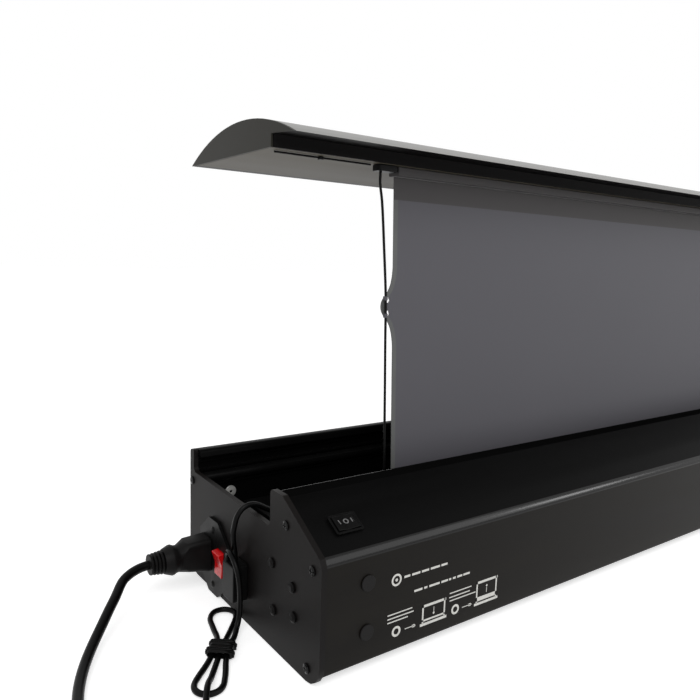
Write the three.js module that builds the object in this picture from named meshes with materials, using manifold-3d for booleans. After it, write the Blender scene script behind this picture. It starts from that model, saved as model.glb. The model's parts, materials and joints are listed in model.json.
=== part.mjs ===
// Floor-rising projection screen: a trough-shaped case that stands on the floor, a roller with the
// grey screen fabric in it, and an arched lid that two pairs of folding arms lift with the fabric.
// Millimetres, +Z up, +X along the case towards its right end, +Y from the front face to the back.
// The origin is on the floor, under the middle of the case.
import * as THREE from 'three';
import { mergeVertices } from 'three/addons/utils/BufferGeometryUtils.js';
import Module from 'manifold-3d';

const wasm = await Module();
wasm.setup();

// Clearances and facets
const seatGap = 0.3;
const mergeReach = 0.0001;
const turnGap = 0.15;
const overrun = 1;
const roundSides = 28;
const smallSides = 12;
const cornerSteps = 4;

// Case
const caseLength = 1820;
const caseDepth = 205;
const frontFace = 5.5;
const noseHeight = 83.5;
const noseRadius = 5;
const humpHeight = 108.5;
const humpRadius = 3;
const humpFront = 52;
const humpBack = 68;
const humpLip = 15;
const frontToeHeight = 8;
const toeDepth = 9;
const toeHeight = 3;
const caseWall = 2.5;
const rearWallHeight = 104;
const rearRadius = 6;
const rearLipDepth = 10;
const rearLipDrop = 6;
const seamDepth = 74;
const seamLap = 12;
const ribDepth = 2.4;
const ribHeight = 1.6;
const ribHeights = [97, 92, 84.5, 71];
const portRadius = 4.6;
const portBore = 1.9;
const portWeb = 1.8;

// End plates
const plateThickness = 4;
const plateProud = 1.5;
const plateCornerRadius = 15;
const notchHeight = 86;
const notchRadius = 4;
const uprightDepth = 7;
const plateScrewRadius = 3.4;
const plateScrewRise = 1.2;
const plateScrewShank = 1.6;
const plateScrewLength = 12;
const plateScrewRecess = 0.6;
const screwDomeShare = 0.6;
const rearScrewInset = 5;
const screwPlaces = [[caseDepth - rearScrewInset, 78], [46.5, 92], [14, 74.5], [18, 9]];

// Roller
const rollerDepth = 52;
const rollerHeight = 44;
const tubeRadius = 31;
const tubeWall = 1.8;
const woundThickness = 2.2;
const tubeStart = 26;
const motorRadius = 22.5;
const motorLength = 470;
const motorHeadRadius = 28;
const motorStubRadius = 6;
const crownLength = 12;
const driveWheelLength = 16;
const driveShaftRadius = 6;
const driveShaftLength = 22;
const idlerPinRadius = 6;
const idlerPinLength = 34;
const idlerCapLength = 20;
const bracketThickness = 3;
const bracketHalf = 27;
const bracketCorner = 8;
const bracketBossRadius = 11;
const bracketBossLength = 6;
const bracketBoltRadius = 3.6;
const bracketBoltShank = 2;
const bracketBoltRise = 2;
const bracketBoltPlaces = [[64, 60], [37, 54], [35, 35], [61, 28]];

// Lid
const lidInset = 0.3;
const lidFront = 47;
const lidBack = 203;
const lidUnderside = 331;
const archRadius = 172;
const archMiddle = 119;
const archRise = 22;
const archSteps = 20;
const lidWall = 1.8;
const overhangDepth = 75;
const overhangStep = 8.2;
const lidLipWidth = 15;
const lidRearWidth = 9;
const lidCapThickness = 1.5;
const lidPanelThickness = 1.6;

// Screen fabric and its tension cords
const fabricInset = 109.2;
const fabricLean = 10.2;
const fabricDepth = 86;
const fabricThickness = 0.6;
const railWidth = 12;
const railHeight = 6.5;
const railCorner = 1;
const tabHeight = 228;
const tabReach = 12.5;
const tabLength = 60;
const tabFlat = 9;
const tabSteps = 8;
const tensionCordRadius = 1;
const tensionCordInset = 95.3;
const cordPlaces = [
  [110, 52],
  [109, 101],
  [107.2, 157],
  [105.5, 203],
  [104.7, 228],
  [104, 241],
  [101.3, 270],
  [97.7, 305],
];
const cordStraight = 8;
const tensionCordSteps = 14;
const clipWidth = 18;
const clipShift = 4.2;
const clipDepth = 9;
const clipHeight = 4.5;
const clipCorner = 2;
const tensionCordSides = 8;

// Folding arms
const armLength = 700;
const armHeight = 26;
const armThickness = 12;
const armWeb = 3;
const armRim = 4;
const armPocketInset = 34;
const armPlane = 112;
const armPlaneGap = 3;
const armFold = THREE.MathUtils.degToRad(10.85);
const pivotHalfSpan = 34;
const pivotDrop = 24;
const pinRadius = 5;
const pinHeadRadius = 8;
const pinHeadLength = 2.2;
const lidBracketThickness = 4;
const lidBracketHalf = 56;
const lidBracketDepth = 38;
const pivotEarRadius = 10;
const baseBracketThickness = 3;
const baseBracketDepth = 44;
const baseCheekThickness = 3.4;
const baseSlotLow = 22;
const baseSlotHigh = 72;
const footPinSlack = 0.4;
const gussetDepth = 16;
const gussetThickness = 3;

// Controls on the case
const rockerWidth = 21;
const rockerDepth = 15;
const rockerAcross = 31;
const rockerFromFront = 25.4;
const bezelRim = 1.6;
const bezelRise = 1.8;
const bezelBody = 12;
const bezelFloor = 2;
const rockerLow = 1.6;
const rockerHigh = 3.4;
const rockerDip = 2.2;
const rockerCore = 6;
const limitPlugAcross = 36;
const limitPlugHeights = [61, 28];
const limitPlugRadius = 5.4;
const limitPlugFlange = 1;
const limitPlugStem = 4;
const limitPlugStemLength = 7;

// Power inlet, jack block and control box
const inletDepthShare = 0.7463;
const inletHeight = 30;
const inletWidth = 50;
const inletFlange = 32;
const inletEars = 60;
const inletEarWidth = 16;
const inletThickness = 2.5;
const inletBodyWidth = 46;
const inletBodyHeight = 27;
const inletBodyLength = 26;
const socketOffset = 12;
const socketWidth = 17;
const socketHeight = 23.5;
const socketHollow = 16;
const socketCorner = 4;
const powerRockerOffset = 12.5;
const powerRockerWidth = 12.5;
const powerRockerHeight = 20;
const powerRockerHollow = 10;
const powerRockerProud = 6;
const powerRockerDip = 4;
const powerRockerLow = 1.6;
const powerRockerCore = 6;
const powerRockerTilt = THREE.MathUtils.degToRad(8);
const rockerEdgeGap = 1;
const inletScrewSpan = 22;
const inletScrewRadius = 3;
const inletScrewRise = 1.2;
const jackDepthShare = 0.522;
const jackWidth = 18;
const jackLow = 18;
const jackHigh = 45;
const jackProud = 12;
const jackCorner = 2;
const controlBoxStart = 40;
const controlBoxEnd = 100;
const controlBoxFront = 92;
const controlBoxInset = 17;
const controlBoxHeight = 58;
const controlBoxCorner = 4;

// Mains lead
const mainsDiameter = 7;
const connectorWidth = 20;
const connectorHeight = 27;
const connectorProud = 24;
const connectorTaper = 9;
const connectorNeckRadius = 9.6;
const connectorReachRadius = 17.5;
const connectorTongueWidth = 15;
const connectorTongueHeight = 21.5;
const connectorTongue = 12;
const reliefLength = 22;
const reliefRadius = 7.4;
const reliefTipRadius = 6.3;
const reliefRibbed = 10.5;
const collarLowRadius = 9.4;
const collarRadius = 12.2;
const collarRise = 5.5;
const collarFlat = 1.8;
const collarBack = 2.4;
const reliefGroove = 1.1;
const reliefRibs = 4;
const reliefRibShare = 0.6;
const connectorCorner = 4;
const mainsSteps = 40;
const cordSides = 8;
const selfGapReach = 3;
const coilPlace = [-178, -161];
const coilInner = 29.5;
const coilPitch = 7.5;
const coilTurns = 6.25;
const coilClimbShare = 0.5;
const coilStepsPerTurn = 24;
const coilSides = 6;
const coilStraight = 8;
const coilTail = 31;
const plugCorner = 5;
const plugWidth = 26;
const plugHeight = 21.6;
const plugLength = 34;
const plugTaper = 16;
const plugTipRadius = 5.4;
const bladeLength = 17;
const bladeWidth = 6.3;
const bladeThickness = 1.5;
const bladeSpan = 12.7;
const earthRadius = 2.4;
const earthDrop = 6;

// Receiver lead with its bow
const leadDiameter = 4;
const leadLift = 0.1;
const tieWall = 1.2;
const tieLength = 7;
const tiePlace = [-30.8, -32];
const tieTurn = THREE.MathUtils.degToRad(52);
const bowStrand = 4.6;
const jackSteps = 20;
const receiverSteps = 80;
const bowSteps = 8 * receiverSteps;
const eyeLength = 22;
const eyeWidth = 14;
const eyeHeight = 9;
const eyeCorner = 3;

// Sizes worked out from the ones above
const halfLength = caseLength / 2;
const fabricHalfWidth = halfLength - fabricInset;
const inletDepth = caseDepth * inletDepthShare;
const socketDepth = inletDepth + socketOffset;
const powerRockerDepth = inletDepth - powerRockerOffset;
const jackDepth = caseDepth * jackDepthShare;
const controlBoxBack = caseDepth - controlBoxInset;
const cordLift = mainsDiameter / 2 + leadLift;
const coilOuter = coilInner + (coilPitch * coilTurns) / 2;
const slopeFront = new THREE.Vector2(frontFace + noseRadius / 2, noseHeight);
const slopeAngle = Math.atan2(humpHeight - slopeFront.y, humpFront - slopeFront.x);
const trimLength = plateThickness + seatGap;
const runLength = caseLength - 2 * trimLength;
const woundRadius = tubeRadius + seatGap + woundThickness;
const lidStart = -halfLength + lidInset;
const lidRun = caseLength - 2 * (lidInset + lidCapThickness + seatGap);
const archCentre = lidUnderside + archRise - archRadius;
const overhangTop = lidUnderside + overhangStep;
const fabricTop = lidUnderside - seatGap - railHeight - seatGap;
const lowerPlane = armPlane + armThickness + armPlaneGap;
const pivotHeight = lidUnderside - pivotDrop;
const elbowSpan = armLength * Math.cos(armFold);
const elbowHeight = pivotHeight - armLength * Math.sin(armFold);
const footHeight = elbowHeight - armLength * Math.sin(armFold);
const cordDepth = fabricDepth - fabricThickness / 2 - seatGap - tensionCordRadius;

// Finishes: colour, roughness, metalness
const finishes = {
  case_black: [0x191718, 0.42, 0.5],
  plate_black: [0x252322, 0.5, 0.4],
  lid_silver: [0x8c8c8a, 0.38, 0.7],
  lid_black: [0x171617, 0.45, 0.4],
  lid_grey: [0x4a4744, 0.55, 0.3],
  panel_grey: [0x565049, 0.6, 0.2],
  fabric_grey: [0x56565a, 0.9, 0],
  cord_black: [0x0e0e0f, 0.6, 0],
  plastic_black: [0x141414, 0.45, 0],
  rubber_black: [0x121212, 0.8, 0],
  steel: [0x9a9a9c, 0.35, 0.9],
  screw_black: [0x1a1a1b, 0.4, 0.7],
  aluminium: [0xa9abad, 0.4, 0.8],
  red: [0xc81414, 0.3, 0],
  brass: [0xb9944a, 0.35, 0.9],
};

const part = new THREE.Group();
part.position.y = -caseDepth / 2;

// Closed mesh to a solid for joining and cutting, and back
function toSolid(geometry) {
  const bare = geometry.clone();
  bare.deleteAttribute('normal');
  bare.deleteAttribute('uv');
  const merged = mergeVertices(bare, mergeReach);
  const mesh = new wasm.Mesh({
    numProp: 3,
    vertProperties: new Float32Array(merged.attributes.position.array),
    triVerts: new Uint32Array(merged.index.array),
  });
  mesh.merge();
  return new wasm.Manifold(mesh);
}

function toGeometry(solid) {
  const mesh = solid.getMesh();
  const geometry = new THREE.BufferGeometry();
  geometry.setAttribute('position', new THREE.BufferAttribute(mesh.vertProperties, 3));
  geometry.setIndex(new THREE.BufferAttribute(mesh.triVerts, 1));
  const flat = geometry.toNonIndexed();
  flat.computeVertexNormals();
  return flat;
}

function mirrored(geometry) {
  return toGeometry(toSolid(geometry).mirror([1, 0, 0]));
}

function joined(first, ...others) {
  let solid = toSolid(first);
  for (const other of others) solid = solid.add(toSolid(other));
  return toGeometry(solid);
}

function common(first, other) {
  return toGeometry(toSolid(first).intersect(toSolid(other)));
}

function cut(first, ...tools) {
  let solid = toSolid(first);
  for (const tool of tools) solid = solid.subtract(toSolid(tool));
  return toGeometry(solid);
}

function add(name, finish, geometry) {
  const [color, roughness, metalness] = finishes[finish];
  const material = new THREE.MeshStandardMaterial({ color, roughness, metalness, flatShading: true });
  material.name = finish;
  const mesh = new THREE.Mesh(geometry, material);
  mesh.name = name;
  part.add(mesh);
}

// Outline with rounded corners, from points written as [across, up, radius]
function rounded(corners, closed = true) {
  const out = [];
  const count = corners.length;
  corners.forEach(([x, y, radius = 0], i) => {
    const here = new THREE.Vector2(x, y);
    const isEnd = !closed && (i === 0 || i === count - 1);
    if (radius === 0 || isEnd) {
      out.push(here);
      return;
    }
    const before = corners[(i + count - 1) % count];
    const after = corners[(i + 1) % count];
    const back = new THREE.Vector2(before[0] - x, before[1] - y).normalize();
    const ahead = new THREE.Vector2(after[0] - x, after[1] - y).normalize();
    const half = Math.acos(THREE.MathUtils.clamp(back.dot(ahead), -1, 1)) / 2;
    const reach = radius / Math.tan(half);
    const middle = back.clone().add(ahead).normalize().multiplyScalar(radius / Math.sin(half)).add(here);
    const from = back.clone().multiplyScalar(reach).add(here).sub(middle);
    const to = ahead.clone().multiplyScalar(reach).add(here).sub(middle);
    const turn = Math.atan2(from.cross(to), from.dot(to));
    for (let k = 0; k <= cornerSteps; k++) {
      out.push(from.clone().rotateAround(new THREE.Vector2(), (turn * k) / cornerSteps).add(middle));
    }
  });
  return out;
}

// Thin wall of one thickness on the left-hand side of an open line of points
function wallOutline(points, thickness) {
  const inner = points.map((point, i) => {
    const before = points[Math.max(i - 1, 0)];
    const after = points[Math.min(i + 1, points.length - 1)];
    const into = point.clone().sub(before);
    const outOf = after.clone().sub(point);
    if (i === 0) into.copy(outOf);
    if (i === points.length - 1) outOf.copy(into);
    const first = new THREE.Vector2(-into.y, into.x).normalize();
    const second = new THREE.Vector2(-outOf.y, outOf.x).normalize();
    const side = first.add(second).normalize();
    const share = side.dot(second);
    return point.clone().addScaledVector(side, thickness / share);
  });
  return [...points, ...inner.reverse()];
}

function extruded(outline, length, holes = []) {
  const shape = new THREE.Shape(outline);
  for (const hole of holes) shape.holes.push(new THREE.Path(hole));
  return new THREE.ExtrudeGeometry(shape, { depth: length, bevelEnabled: false, curveSegments: 1 });
}

// A profile in depth and height, run along X from start
const alongXBasis = new THREE.Matrix4().makeBasis(
  new THREE.Vector3(0, 1, 0),
  new THREE.Vector3(0, 0, 1),
  new THREE.Vector3(1, 0, 0),
);
function alongX(outline, start, length, holes) {
  return extruded(outline, length, holes).applyMatrix4(alongXBasis).translate(start, 0, 0);
}

// A profile in X and height, run along Y from start
const alongYBasis = new THREE.Matrix4().makeBasis(
  new THREE.Vector3(1, 0, 0),
  new THREE.Vector3(0, 0, 1),
  new THREE.Vector3(0, -1, 0),
);
function alongY(outline, start, length, holes) {
  return extruded(outline, length, holes).applyMatrix4(alongYBasis).translate(0, start + length, 0);
}

function alongZ(outline, start, length, holes) {
  return extruded(outline, length, holes).translate(0, 0, start);
}

function circle(x, y, radius, sides = roundSides) {
  return Array.from({ length: sides }, (_, i) => {
    const angle = (2 * Math.PI * i) / sides;
    return new THREE.Vector2(x + radius * Math.cos(angle), y + radius * Math.sin(angle));
  });
}

function rectangle(x0, y0, x1, y1, radius = 0) {
  return rounded([[x0, y0, radius], [x1, y0, radius], [x1, y1, radius], [x0, y1, radius]]);
}

// Turned piece from points written as [radius, place along the axis], in either direction
function turnedUp(profile, sides = roundSides) {
  const points = profile.map(([radius, along]) => new THREE.Vector2(radius, along));
  if (THREE.ShapeUtils.isClockWise(points)) points.reverse();
  return new THREE.LatheGeometry(points, sides);
}

function turned(profile, start, depth, height, sides = roundSides) {
  return turnedUp(profile, sides).rotateZ(-Math.PI / 2).translate(start, depth, height);
}

function onRoller(profile, start) {
  return turned(profile, start, rollerDepth, rollerHeight, roundSides);
}

// Profile corners of the front housing, shared with the end plates
function housingCorners(proud) {
  return [
    [humpBack, humpHeight + proud, humpRadius],
    [humpFront, humpHeight + proud, humpRadius],
    [slopeFront.x - proud, slopeFront.y + proud / 2, noseRadius / 2],
    [frontFace - proud, slopeFront.y - noseRadius, noseRadius / 2],
  ];
}

function frontHousing() {
  const line = rounded([
    [humpBack, humpHeight - humpLip],
    ...housingCorners(0),
    [frontFace, frontToeHeight, humpRadius],
    [frontFace + toeDepth, toeHeight, humpRadius],
    [seamDepth - seatGap, toeHeight],
  ], false);
  const start = -halfLength + trimLength;
  const shell = alongX(wallOutline(line, caseWall), start, runLength);
  const [, top, nose, toe] = screwPlaces;
  const webs = [
    rectangle(top[0] - portWeb / 2, top[1], top[0] + portWeb / 2, humpHeight - 2 * caseWall),
    rectangle(frontFace + caseWall / 2, nose[1] - portWeb / 2, nose[0], nose[1] + portWeb / 2),
  ].map((outline) => alongX(outline, start, runLength));
  const ports = [top, nose, toe].map(([y, z]) => (
    alongX(circle(y, z, portRadius, smallSides), start, runLength)
  ));
  const bores = [top, nose, toe].map(([y, z]) => (
    alongX(circle(y, z, portBore, smallSides), start - overrun, runLength + 2 * overrun)
  ));
  const solid = joined(shell, ...webs, ...ports);
  const plugAcross = -halfLength + limitPlugAcross;
  const plugHoles = limitPlugHeights.map((z) => {
    const hole = circle(plugAcross, z, limitPlugStem + seatGap, smallSides);
    return alongY(hole, frontFace - overrun, caseWall + 2 * overrun);
  });
  return cut(solid, ...bores, ...plugHoles, bezelHole());
}

function rearTray() {
  const start = -halfLength + trimLength;
  const lapHeight = toeHeight + caseWall + seatGap;
  const line = rounded([
    [seamDepth - seamLap, lapHeight],
    [seamDepth + caseWall, lapHeight],
    [seamDepth + 2 * caseWall, toeHeight],
    [caseDepth, toeHeight, rearRadius],
    [caseDepth, rearWallHeight, humpRadius],
    [caseDepth - rearLipDepth, rearWallHeight, humpRadius],
    [caseDepth - rearLipDepth - caseWall / 2, rearWallHeight - rearLipDrop],
  ], false);
  const shell = alongX(wallOutline(line, caseWall), start, runLength);
  const inner = caseDepth - caseWall / 2;
  const ribs = ribHeights.map((z) => (
    alongX(rectangle(inner - caseWall / 2 - ribDepth, z, inner, z + ribHeight), start, runLength)
  ));
  const [y, z] = screwPlaces[0];
  const port = alongX(circle(y, z, portRadius, smallSides), start, runLength);
  const bore = alongX(circle(y, z, portBore, smallSides), start - overrun, runLength + 2 * overrun);
  const solid = joined(shell, port, ...ribs);
  return cut(solid, bore);
}

function plateOutline() {
  return rounded([
    ...housingCorners(plateProud),
    [frontFace - plateProud, 0, plateCornerRadius],
    [caseDepth, 0, plateCornerRadius],
    [caseDepth, rearWallHeight, humpRadius],
    [caseDepth - uprightDepth, rearWallHeight, humpRadius / 2],
    [caseDepth - uprightDepth, notchHeight, notchRadius],
    [humpBack, notchHeight - notchRadius / 2, notchRadius],
  ]);
}

function endPlate(isLeft) {
  const start = -halfLength;
  const plate = alongX(plateOutline(), start, plateThickness);
  const through = (outline) => alongX(outline, start - overrun, plateThickness + 2 * overrun);
  const bored = (y, z, radius) => through(circle(y, z, radius + seatGap, smallSides));
  const holes = screwPlaces.map(([y, z]) => bored(y, z, plateScrewShank));
  holes.push(...bracketBoltPlaces.map(([y, z]) => bored(y, z, bracketBoltShank)));
  if (isLeft) {
    const halfWidth = inletBodyWidth / 2 + seatGap;
    const halfHeight = inletBodyHeight / 2 + seatGap;
    holes.push(through(rectangle(
      inletDepth - halfWidth,
      inletHeight - halfHeight,
      inletDepth + halfWidth,
      inletHeight + halfHeight,
    )));
    for (const side of [-1, 1]) {
      holes.push(bored(inletDepth, inletHeight + side * inletScrewSpan, plateScrewShank));
    }
  }
  return cut(plate, ...holes);
}

// Domed screw with a cross recess, head on the outer face of the left end plate
function plateScrew(y, z) {
  const dome = [
    [0, plateScrewLength],
    [plateScrewShank, plateScrewLength],
    [plateScrewShank, 0],
    [plateScrewRadius, 0],
    [plateScrewRadius, -plateScrewRise / 2],
    [plateScrewRadius * screwDomeShare, -plateScrewRise],
    [0, -plateScrewRise],
  ];
  const body = turned(dome, -seatGap, 0, 0, smallSides);
  const arm = plateScrewRadius / 2;
  const slit = plateScrewRecess / 2;
  const start = -seatGap - plateScrewRise - overrun;
  const recess = [
    alongX(rectangle(-arm, -slit, arm, slit), start, overrun + plateScrewRecess),
    alongX(rectangle(-slit, -arm, slit, arm), start, overrun + plateScrewRecess),
  ];
  return cut(body, ...recess).translate(-halfLength, y, z);
}

// Bracket that carries the left end of the roller, bolted through the end plate
function rollerBracket() {
  const inside = plateThickness + seatGap;
  const plate = alongX(rectangle(
    rollerDepth - bracketHalf,
    rollerHeight - bracketHalf,
    rollerDepth + bracketHalf,
    rollerHeight + bracketHalf,
    bracketCorner,
  ), inside, bracketThickness);
  const bossEnd = bracketThickness + bracketBossLength;
  const boss = alongX(circle(rollerDepth, rollerHeight, bracketBossRadius), inside, bossEnd);
  const bore = alongX(
    circle(rollerDepth, rollerHeight, motorStubRadius + seatGap),
    inside + bracketThickness,
    bracketBossLength + overrun,
  );
  const shankStart = -seatGap - bracketBoltRise / 2;
  const shankLength = inside + seatGap + bracketBoltRise;
  const bolts = bracketBoltPlaces.flatMap(([y, z]) => [
    alongX(circle(y, z, bracketBoltShank, smallSides), shankStart, shankLength),
    turned([
      [0, 0],
      [bracketBoltRadius, 0],
      [bracketBoltRadius, -bracketBoltRise / 2],
      [bracketBoltRadius / 2, -bracketBoltRise],
      [0, -bracketBoltRise],
    ], -seatGap, y, z, smallSides),
  ]);
  return cut(joined(plate, boss, ...bolts), bore).translate(-halfLength, 0, 0);
}

// Roller tube with the wound fabric on it, and the motor, crown, drive wheel, end cap and pin in it
const tubeX = -halfLength + tubeStart;
const tubeInner = tubeRadius - tubeWall;
const motorX = -halfLength + plateThickness + bracketThickness + bracketBossLength + 2 * seatGap;

function ring(inner, outer, start, length) {
  return onRoller([[inner, 0], [outer, 0], [outer, length], [inner, length], [inner, 0]], start);
}

function rollerTube() {
  return ring(tubeInner, tubeRadius, tubeX, caseLength - 2 * tubeStart);
}

function woundFabric() {
  const half = fabricHalfWidth - fabricLean;
  return ring(tubeRadius + seatGap, woundRadius, -half, 2 * half);
}

function tubularMotor() {
  const headLength = tubeX - motorX - overrun;
  return onRoller([
    [0, -bracketBossLength],
    [motorStubRadius, -bracketBossLength],
    [motorStubRadius, 0],
    [motorHeadRadius, 0],
    [motorHeadRadius, headLength],
    [motorRadius, headLength],
    [motorRadius, motorLength],
    [driveShaftRadius, motorLength],
    [driveShaftRadius, motorLength + driveShaftLength],
    [0, motorLength + driveShaftLength],
  ], motorX);
}

function rollerCrown() {
  return ring(motorRadius + turnGap, tubeInner - seatGap, tubeX + overrun, crownLength);
}

function driveWheel() {
  const start = motorX + motorLength + (driveShaftLength - driveWheelLength) / 2;
  return ring(driveShaftRadius + seatGap, tubeInner - seatGap, start, driveWheelLength);
}

function idlerCap() {
  const start = halfLength - tubeStart - idlerCapLength;
  return ring(idlerPinRadius + turnGap, tubeInner - seatGap, start, idlerCapLength);
}

function idlerPin() {
  const end = halfLength - plateThickness - bracketThickness - 2 * seatGap;
  return onRoller([
    [0, -idlerPinLength],
    [idlerPinRadius, -idlerPinLength],
    [idlerPinRadius, 0],
    [0, 0],
  ], end);
}

// Lid outline: arched top, thin front lip over a recessed overhang, flat underside
function archLine(from, to, radius) {
  return Array.from({ length: archSteps + 1 }, (_, i) => {
    const depth = THREE.MathUtils.lerp(from, to, i / archSteps);
    return new THREE.Vector2(depth, archCentre + Math.sqrt(radius ** 2 - (depth - archMiddle) ** 2));
  });
}

function lidOutline() {
  return [
    new THREE.Vector2(overhangDepth, lidUnderside),
    new THREE.Vector2(overhangDepth, overhangTop),
    new THREE.Vector2(lidFront + lidWall, overhangTop - lidWall),
    ...archLine(lidFront, lidBack, archRadius),
  ];
}

function lidShell() {
  const start = lidStart + lidCapThickness + seatGap;
  const front = lidFront + lidLipWidth;
  const back = lidBack - lidRearWidth;
  const hollow = [
    new THREE.Vector2(overhangDepth + lidWall, lidUnderside - overrun),
    new THREE.Vector2(overhangDepth + lidWall, overhangTop + lidWall),
    new THREE.Vector2(front, overhangTop + lidWall),
    ...archLine(front, back, archRadius - lidWall),
    new THREE.Vector2(back, lidUnderside - overrun),
  ];
  return cut(alongX(lidOutline(), start, lidRun), alongX(hollow, start - overrun, lidRun + 2 * overrun));
}

function lidPanel() {
  const front = overhangDepth + lidWall + seatGap;
  const back = lidBack - lidRearWidth - seatGap;
  const outline = rectangle(front, lidUnderside, back, lidUnderside + lidPanelThickness);
  return alongX(outline, lidStart + lidCapThickness + seatGap, lidRun);
}

function fabricRail() {
  const high = lidUnderside - seatGap;
  const front = fabricDepth - railWidth / 2;
  const outline = rectangle(front, high - railHeight, front + railWidth, high, railCorner);
  return alongX(outline, -fabricHalfWidth, 2 * fabricHalfWidth);
}

// Where the fabric's edge is at a height: the edge leans inward toward the roller
function fabricEdge(z) {
  return fabricHalfWidth - fabricLean * (fabricTop - z) / (fabricTop - rollerHeight);
}

// One side of the fabric's outline, from low to high, with the tab that the tension cord pulls on
function fabricSide(side) {
  const rise = (tabLength - tabFlat) / 2;
  const lower = Array.from({ length: tabSteps + 1 }, (_, i) => {
    const share = i / tabSteps;
    return [tabHeight - tabLength / 2 + rise * share, (1 - Math.cos(Math.PI * share)) / 2];
  });
  const upper = lower.map(([z, swell]) => [2 * tabHeight - z, swell]).reverse();
  return [[rollerHeight, 0], ...lower, ...upper, [fabricTop, 0]].map(([z, swell]) => (
    new THREE.Vector2(side * (fabricEdge(z) + tabReach * swell), z)
  ));
}

function screenFabric() {
  const outline = [...fabricSide(-1).reverse(), ...fabricSide(1)];
  return alongY(outline, fabricDepth - fabricThickness / 2, fabricThickness);
}

// Clip under the lid that holds the top of the left tension cord
const clipLow = lidUnderside - seatGap - clipHeight;

function cordClip() {
  const middle = -halfLength + tensionCordInset + clipShift;
  return alongZ(rectangle(
    middle - clipWidth / 2,
    cordDepth - clipDepth / 2,
    middle + clipWidth / 2,
    cordDepth + clipDepth / 2,
    clipCorner,
  ), clipLow, clipHeight);
}

// From the roller up beside the fabric's edge, through the tab's pocket and on to the clip
function tensionCord() {
  const top = clipLow - seatGap;
  const places = [
    [cordPlaces[0][0], rollerHeight],
    ...cordPlaces,
    [tensionCordInset, top - cordStraight],
    [tensionCordInset, top],
  ];
  const points = places.map(([x, z]) => new THREE.Vector3(x - halfLength, cordDepth, z));
  return cord(points, 2 * tensionCordRadius, tensionCordSteps, tensionCordSides);
}

// Turned pin along Y with a head at one end; the lathe's own axis is Y
function pin(x, z, head, tip) {
  const inward = Math.sign(tip - head);
  const neck = head + inward * pinHeadLength;
  const profile = [
    [0, head],
    [pinHeadRadius, head],
    [pinHeadRadius, neck],
    [pinRadius, neck],
    [pinRadius, tip],
    [0, tip],
  ];
  return turnedUp(profile).translate(x, 0, z);
}

// Channel-shaped arm from a pivot at the origin to one at armLength along X
function arm(plane, pocketAtFront) {
  const half = armHeight / 2;
  const outline = rectangle(-half, -half, armLength + half, half, half - seatGap);
  const body = alongY(outline, plane, armThickness);
  const boreLength = armThickness + 2 * overrun;
  const bore = (x) => alongY(circle(x, 0, pinRadius + turnGap), plane - overrun, boreLength);
  const pocketStart = pocketAtFront ? plane - overrun : plane + armWeb;
  const pocketHalf = half - armRim;
  const pocket = alongY(
    rectangle(armPocketInset, -pocketHalf, armLength - armPocketInset, pocketHalf, pocketHalf / 2),
    pocketStart,
    armThickness - armWeb + overrun,
  );
  return cut(body, bore(0), bore(armLength), pocket);
}

// The left pair: the upper arm hangs from the lid, the lower one stands on the case
function upperArm() {
  return arm(armPlane, true).rotateY(Math.PI - armFold).translate(-pivotHalfSpan, 0, pivotHeight);
}

function lowerArm() {
  return arm(lowerPlane, false).rotateY(Math.PI + armFold).translate(-pivotHalfSpan, 0, footHeight);
}

function elbowPin() {
  return pin(
    -pivotHalfSpan - elbowSpan,
    elbowHeight,
    armPlane - seatGap - pinHeadLength,
    lowerPlane + armThickness + overrun,
  );
}

const lidCheek = armPlane - seatGap - lidBracketThickness;

function lidPin() {
  const start = lidCheek - seatGap - pinHeadLength;
  return pin(-pivotHalfSpan, pivotHeight, start, armPlane + armThickness + overrun);
}

const footCheek = lowerPlane + armThickness + 2 * seatGap;

function footPin() {
  const start = footCheek + baseCheekThickness + seatGap + pinHeadLength;
  return pin(-pivotHalfSpan, footHeight, start, lowerPlane - overrun);
}

// Bracket under the lid with two ears for the upper arms
function lidBracket() {
  const high = lidUnderside - seatGap;
  const low = pivotHeight - pivotEarRadius;
  const flange = alongZ(
    rectangle(-lidBracketHalf, lidCheek, lidBracketHalf, lidCheek + lidBracketDepth, lidBracketThickness),
    high - lidBracketThickness,
    lidBracketThickness,
  );
  const outer = pivotHalfSpan + pivotEarRadius;
  const inner = pivotHalfSpan - pivotEarRadius;
  const cheek = alongY(rounded([
    [-lidBracketHalf, high],
    [-outer, low, pivotEarRadius],
    [-inner, low, pivotEarRadius],
    [0, high - pivotDrop / 2, pivotEarRadius],
    [inner, low, pivotEarRadius],
    [outer, low, pivotEarRadius],
    [lidBracketHalf, high],
  ]), lidCheek, lidBracketThickness);
  const boreLength = lidBracketThickness + 2 * overrun;
  const bores = [-pivotHalfSpan, pivotHalfSpan].map((x) => (
    alongY(circle(x, pivotHeight, pinRadius + seatGap), lidCheek - overrun, boreLength)
  ));
  return cut(joined(flange, cheek), ...bores);
}

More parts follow.
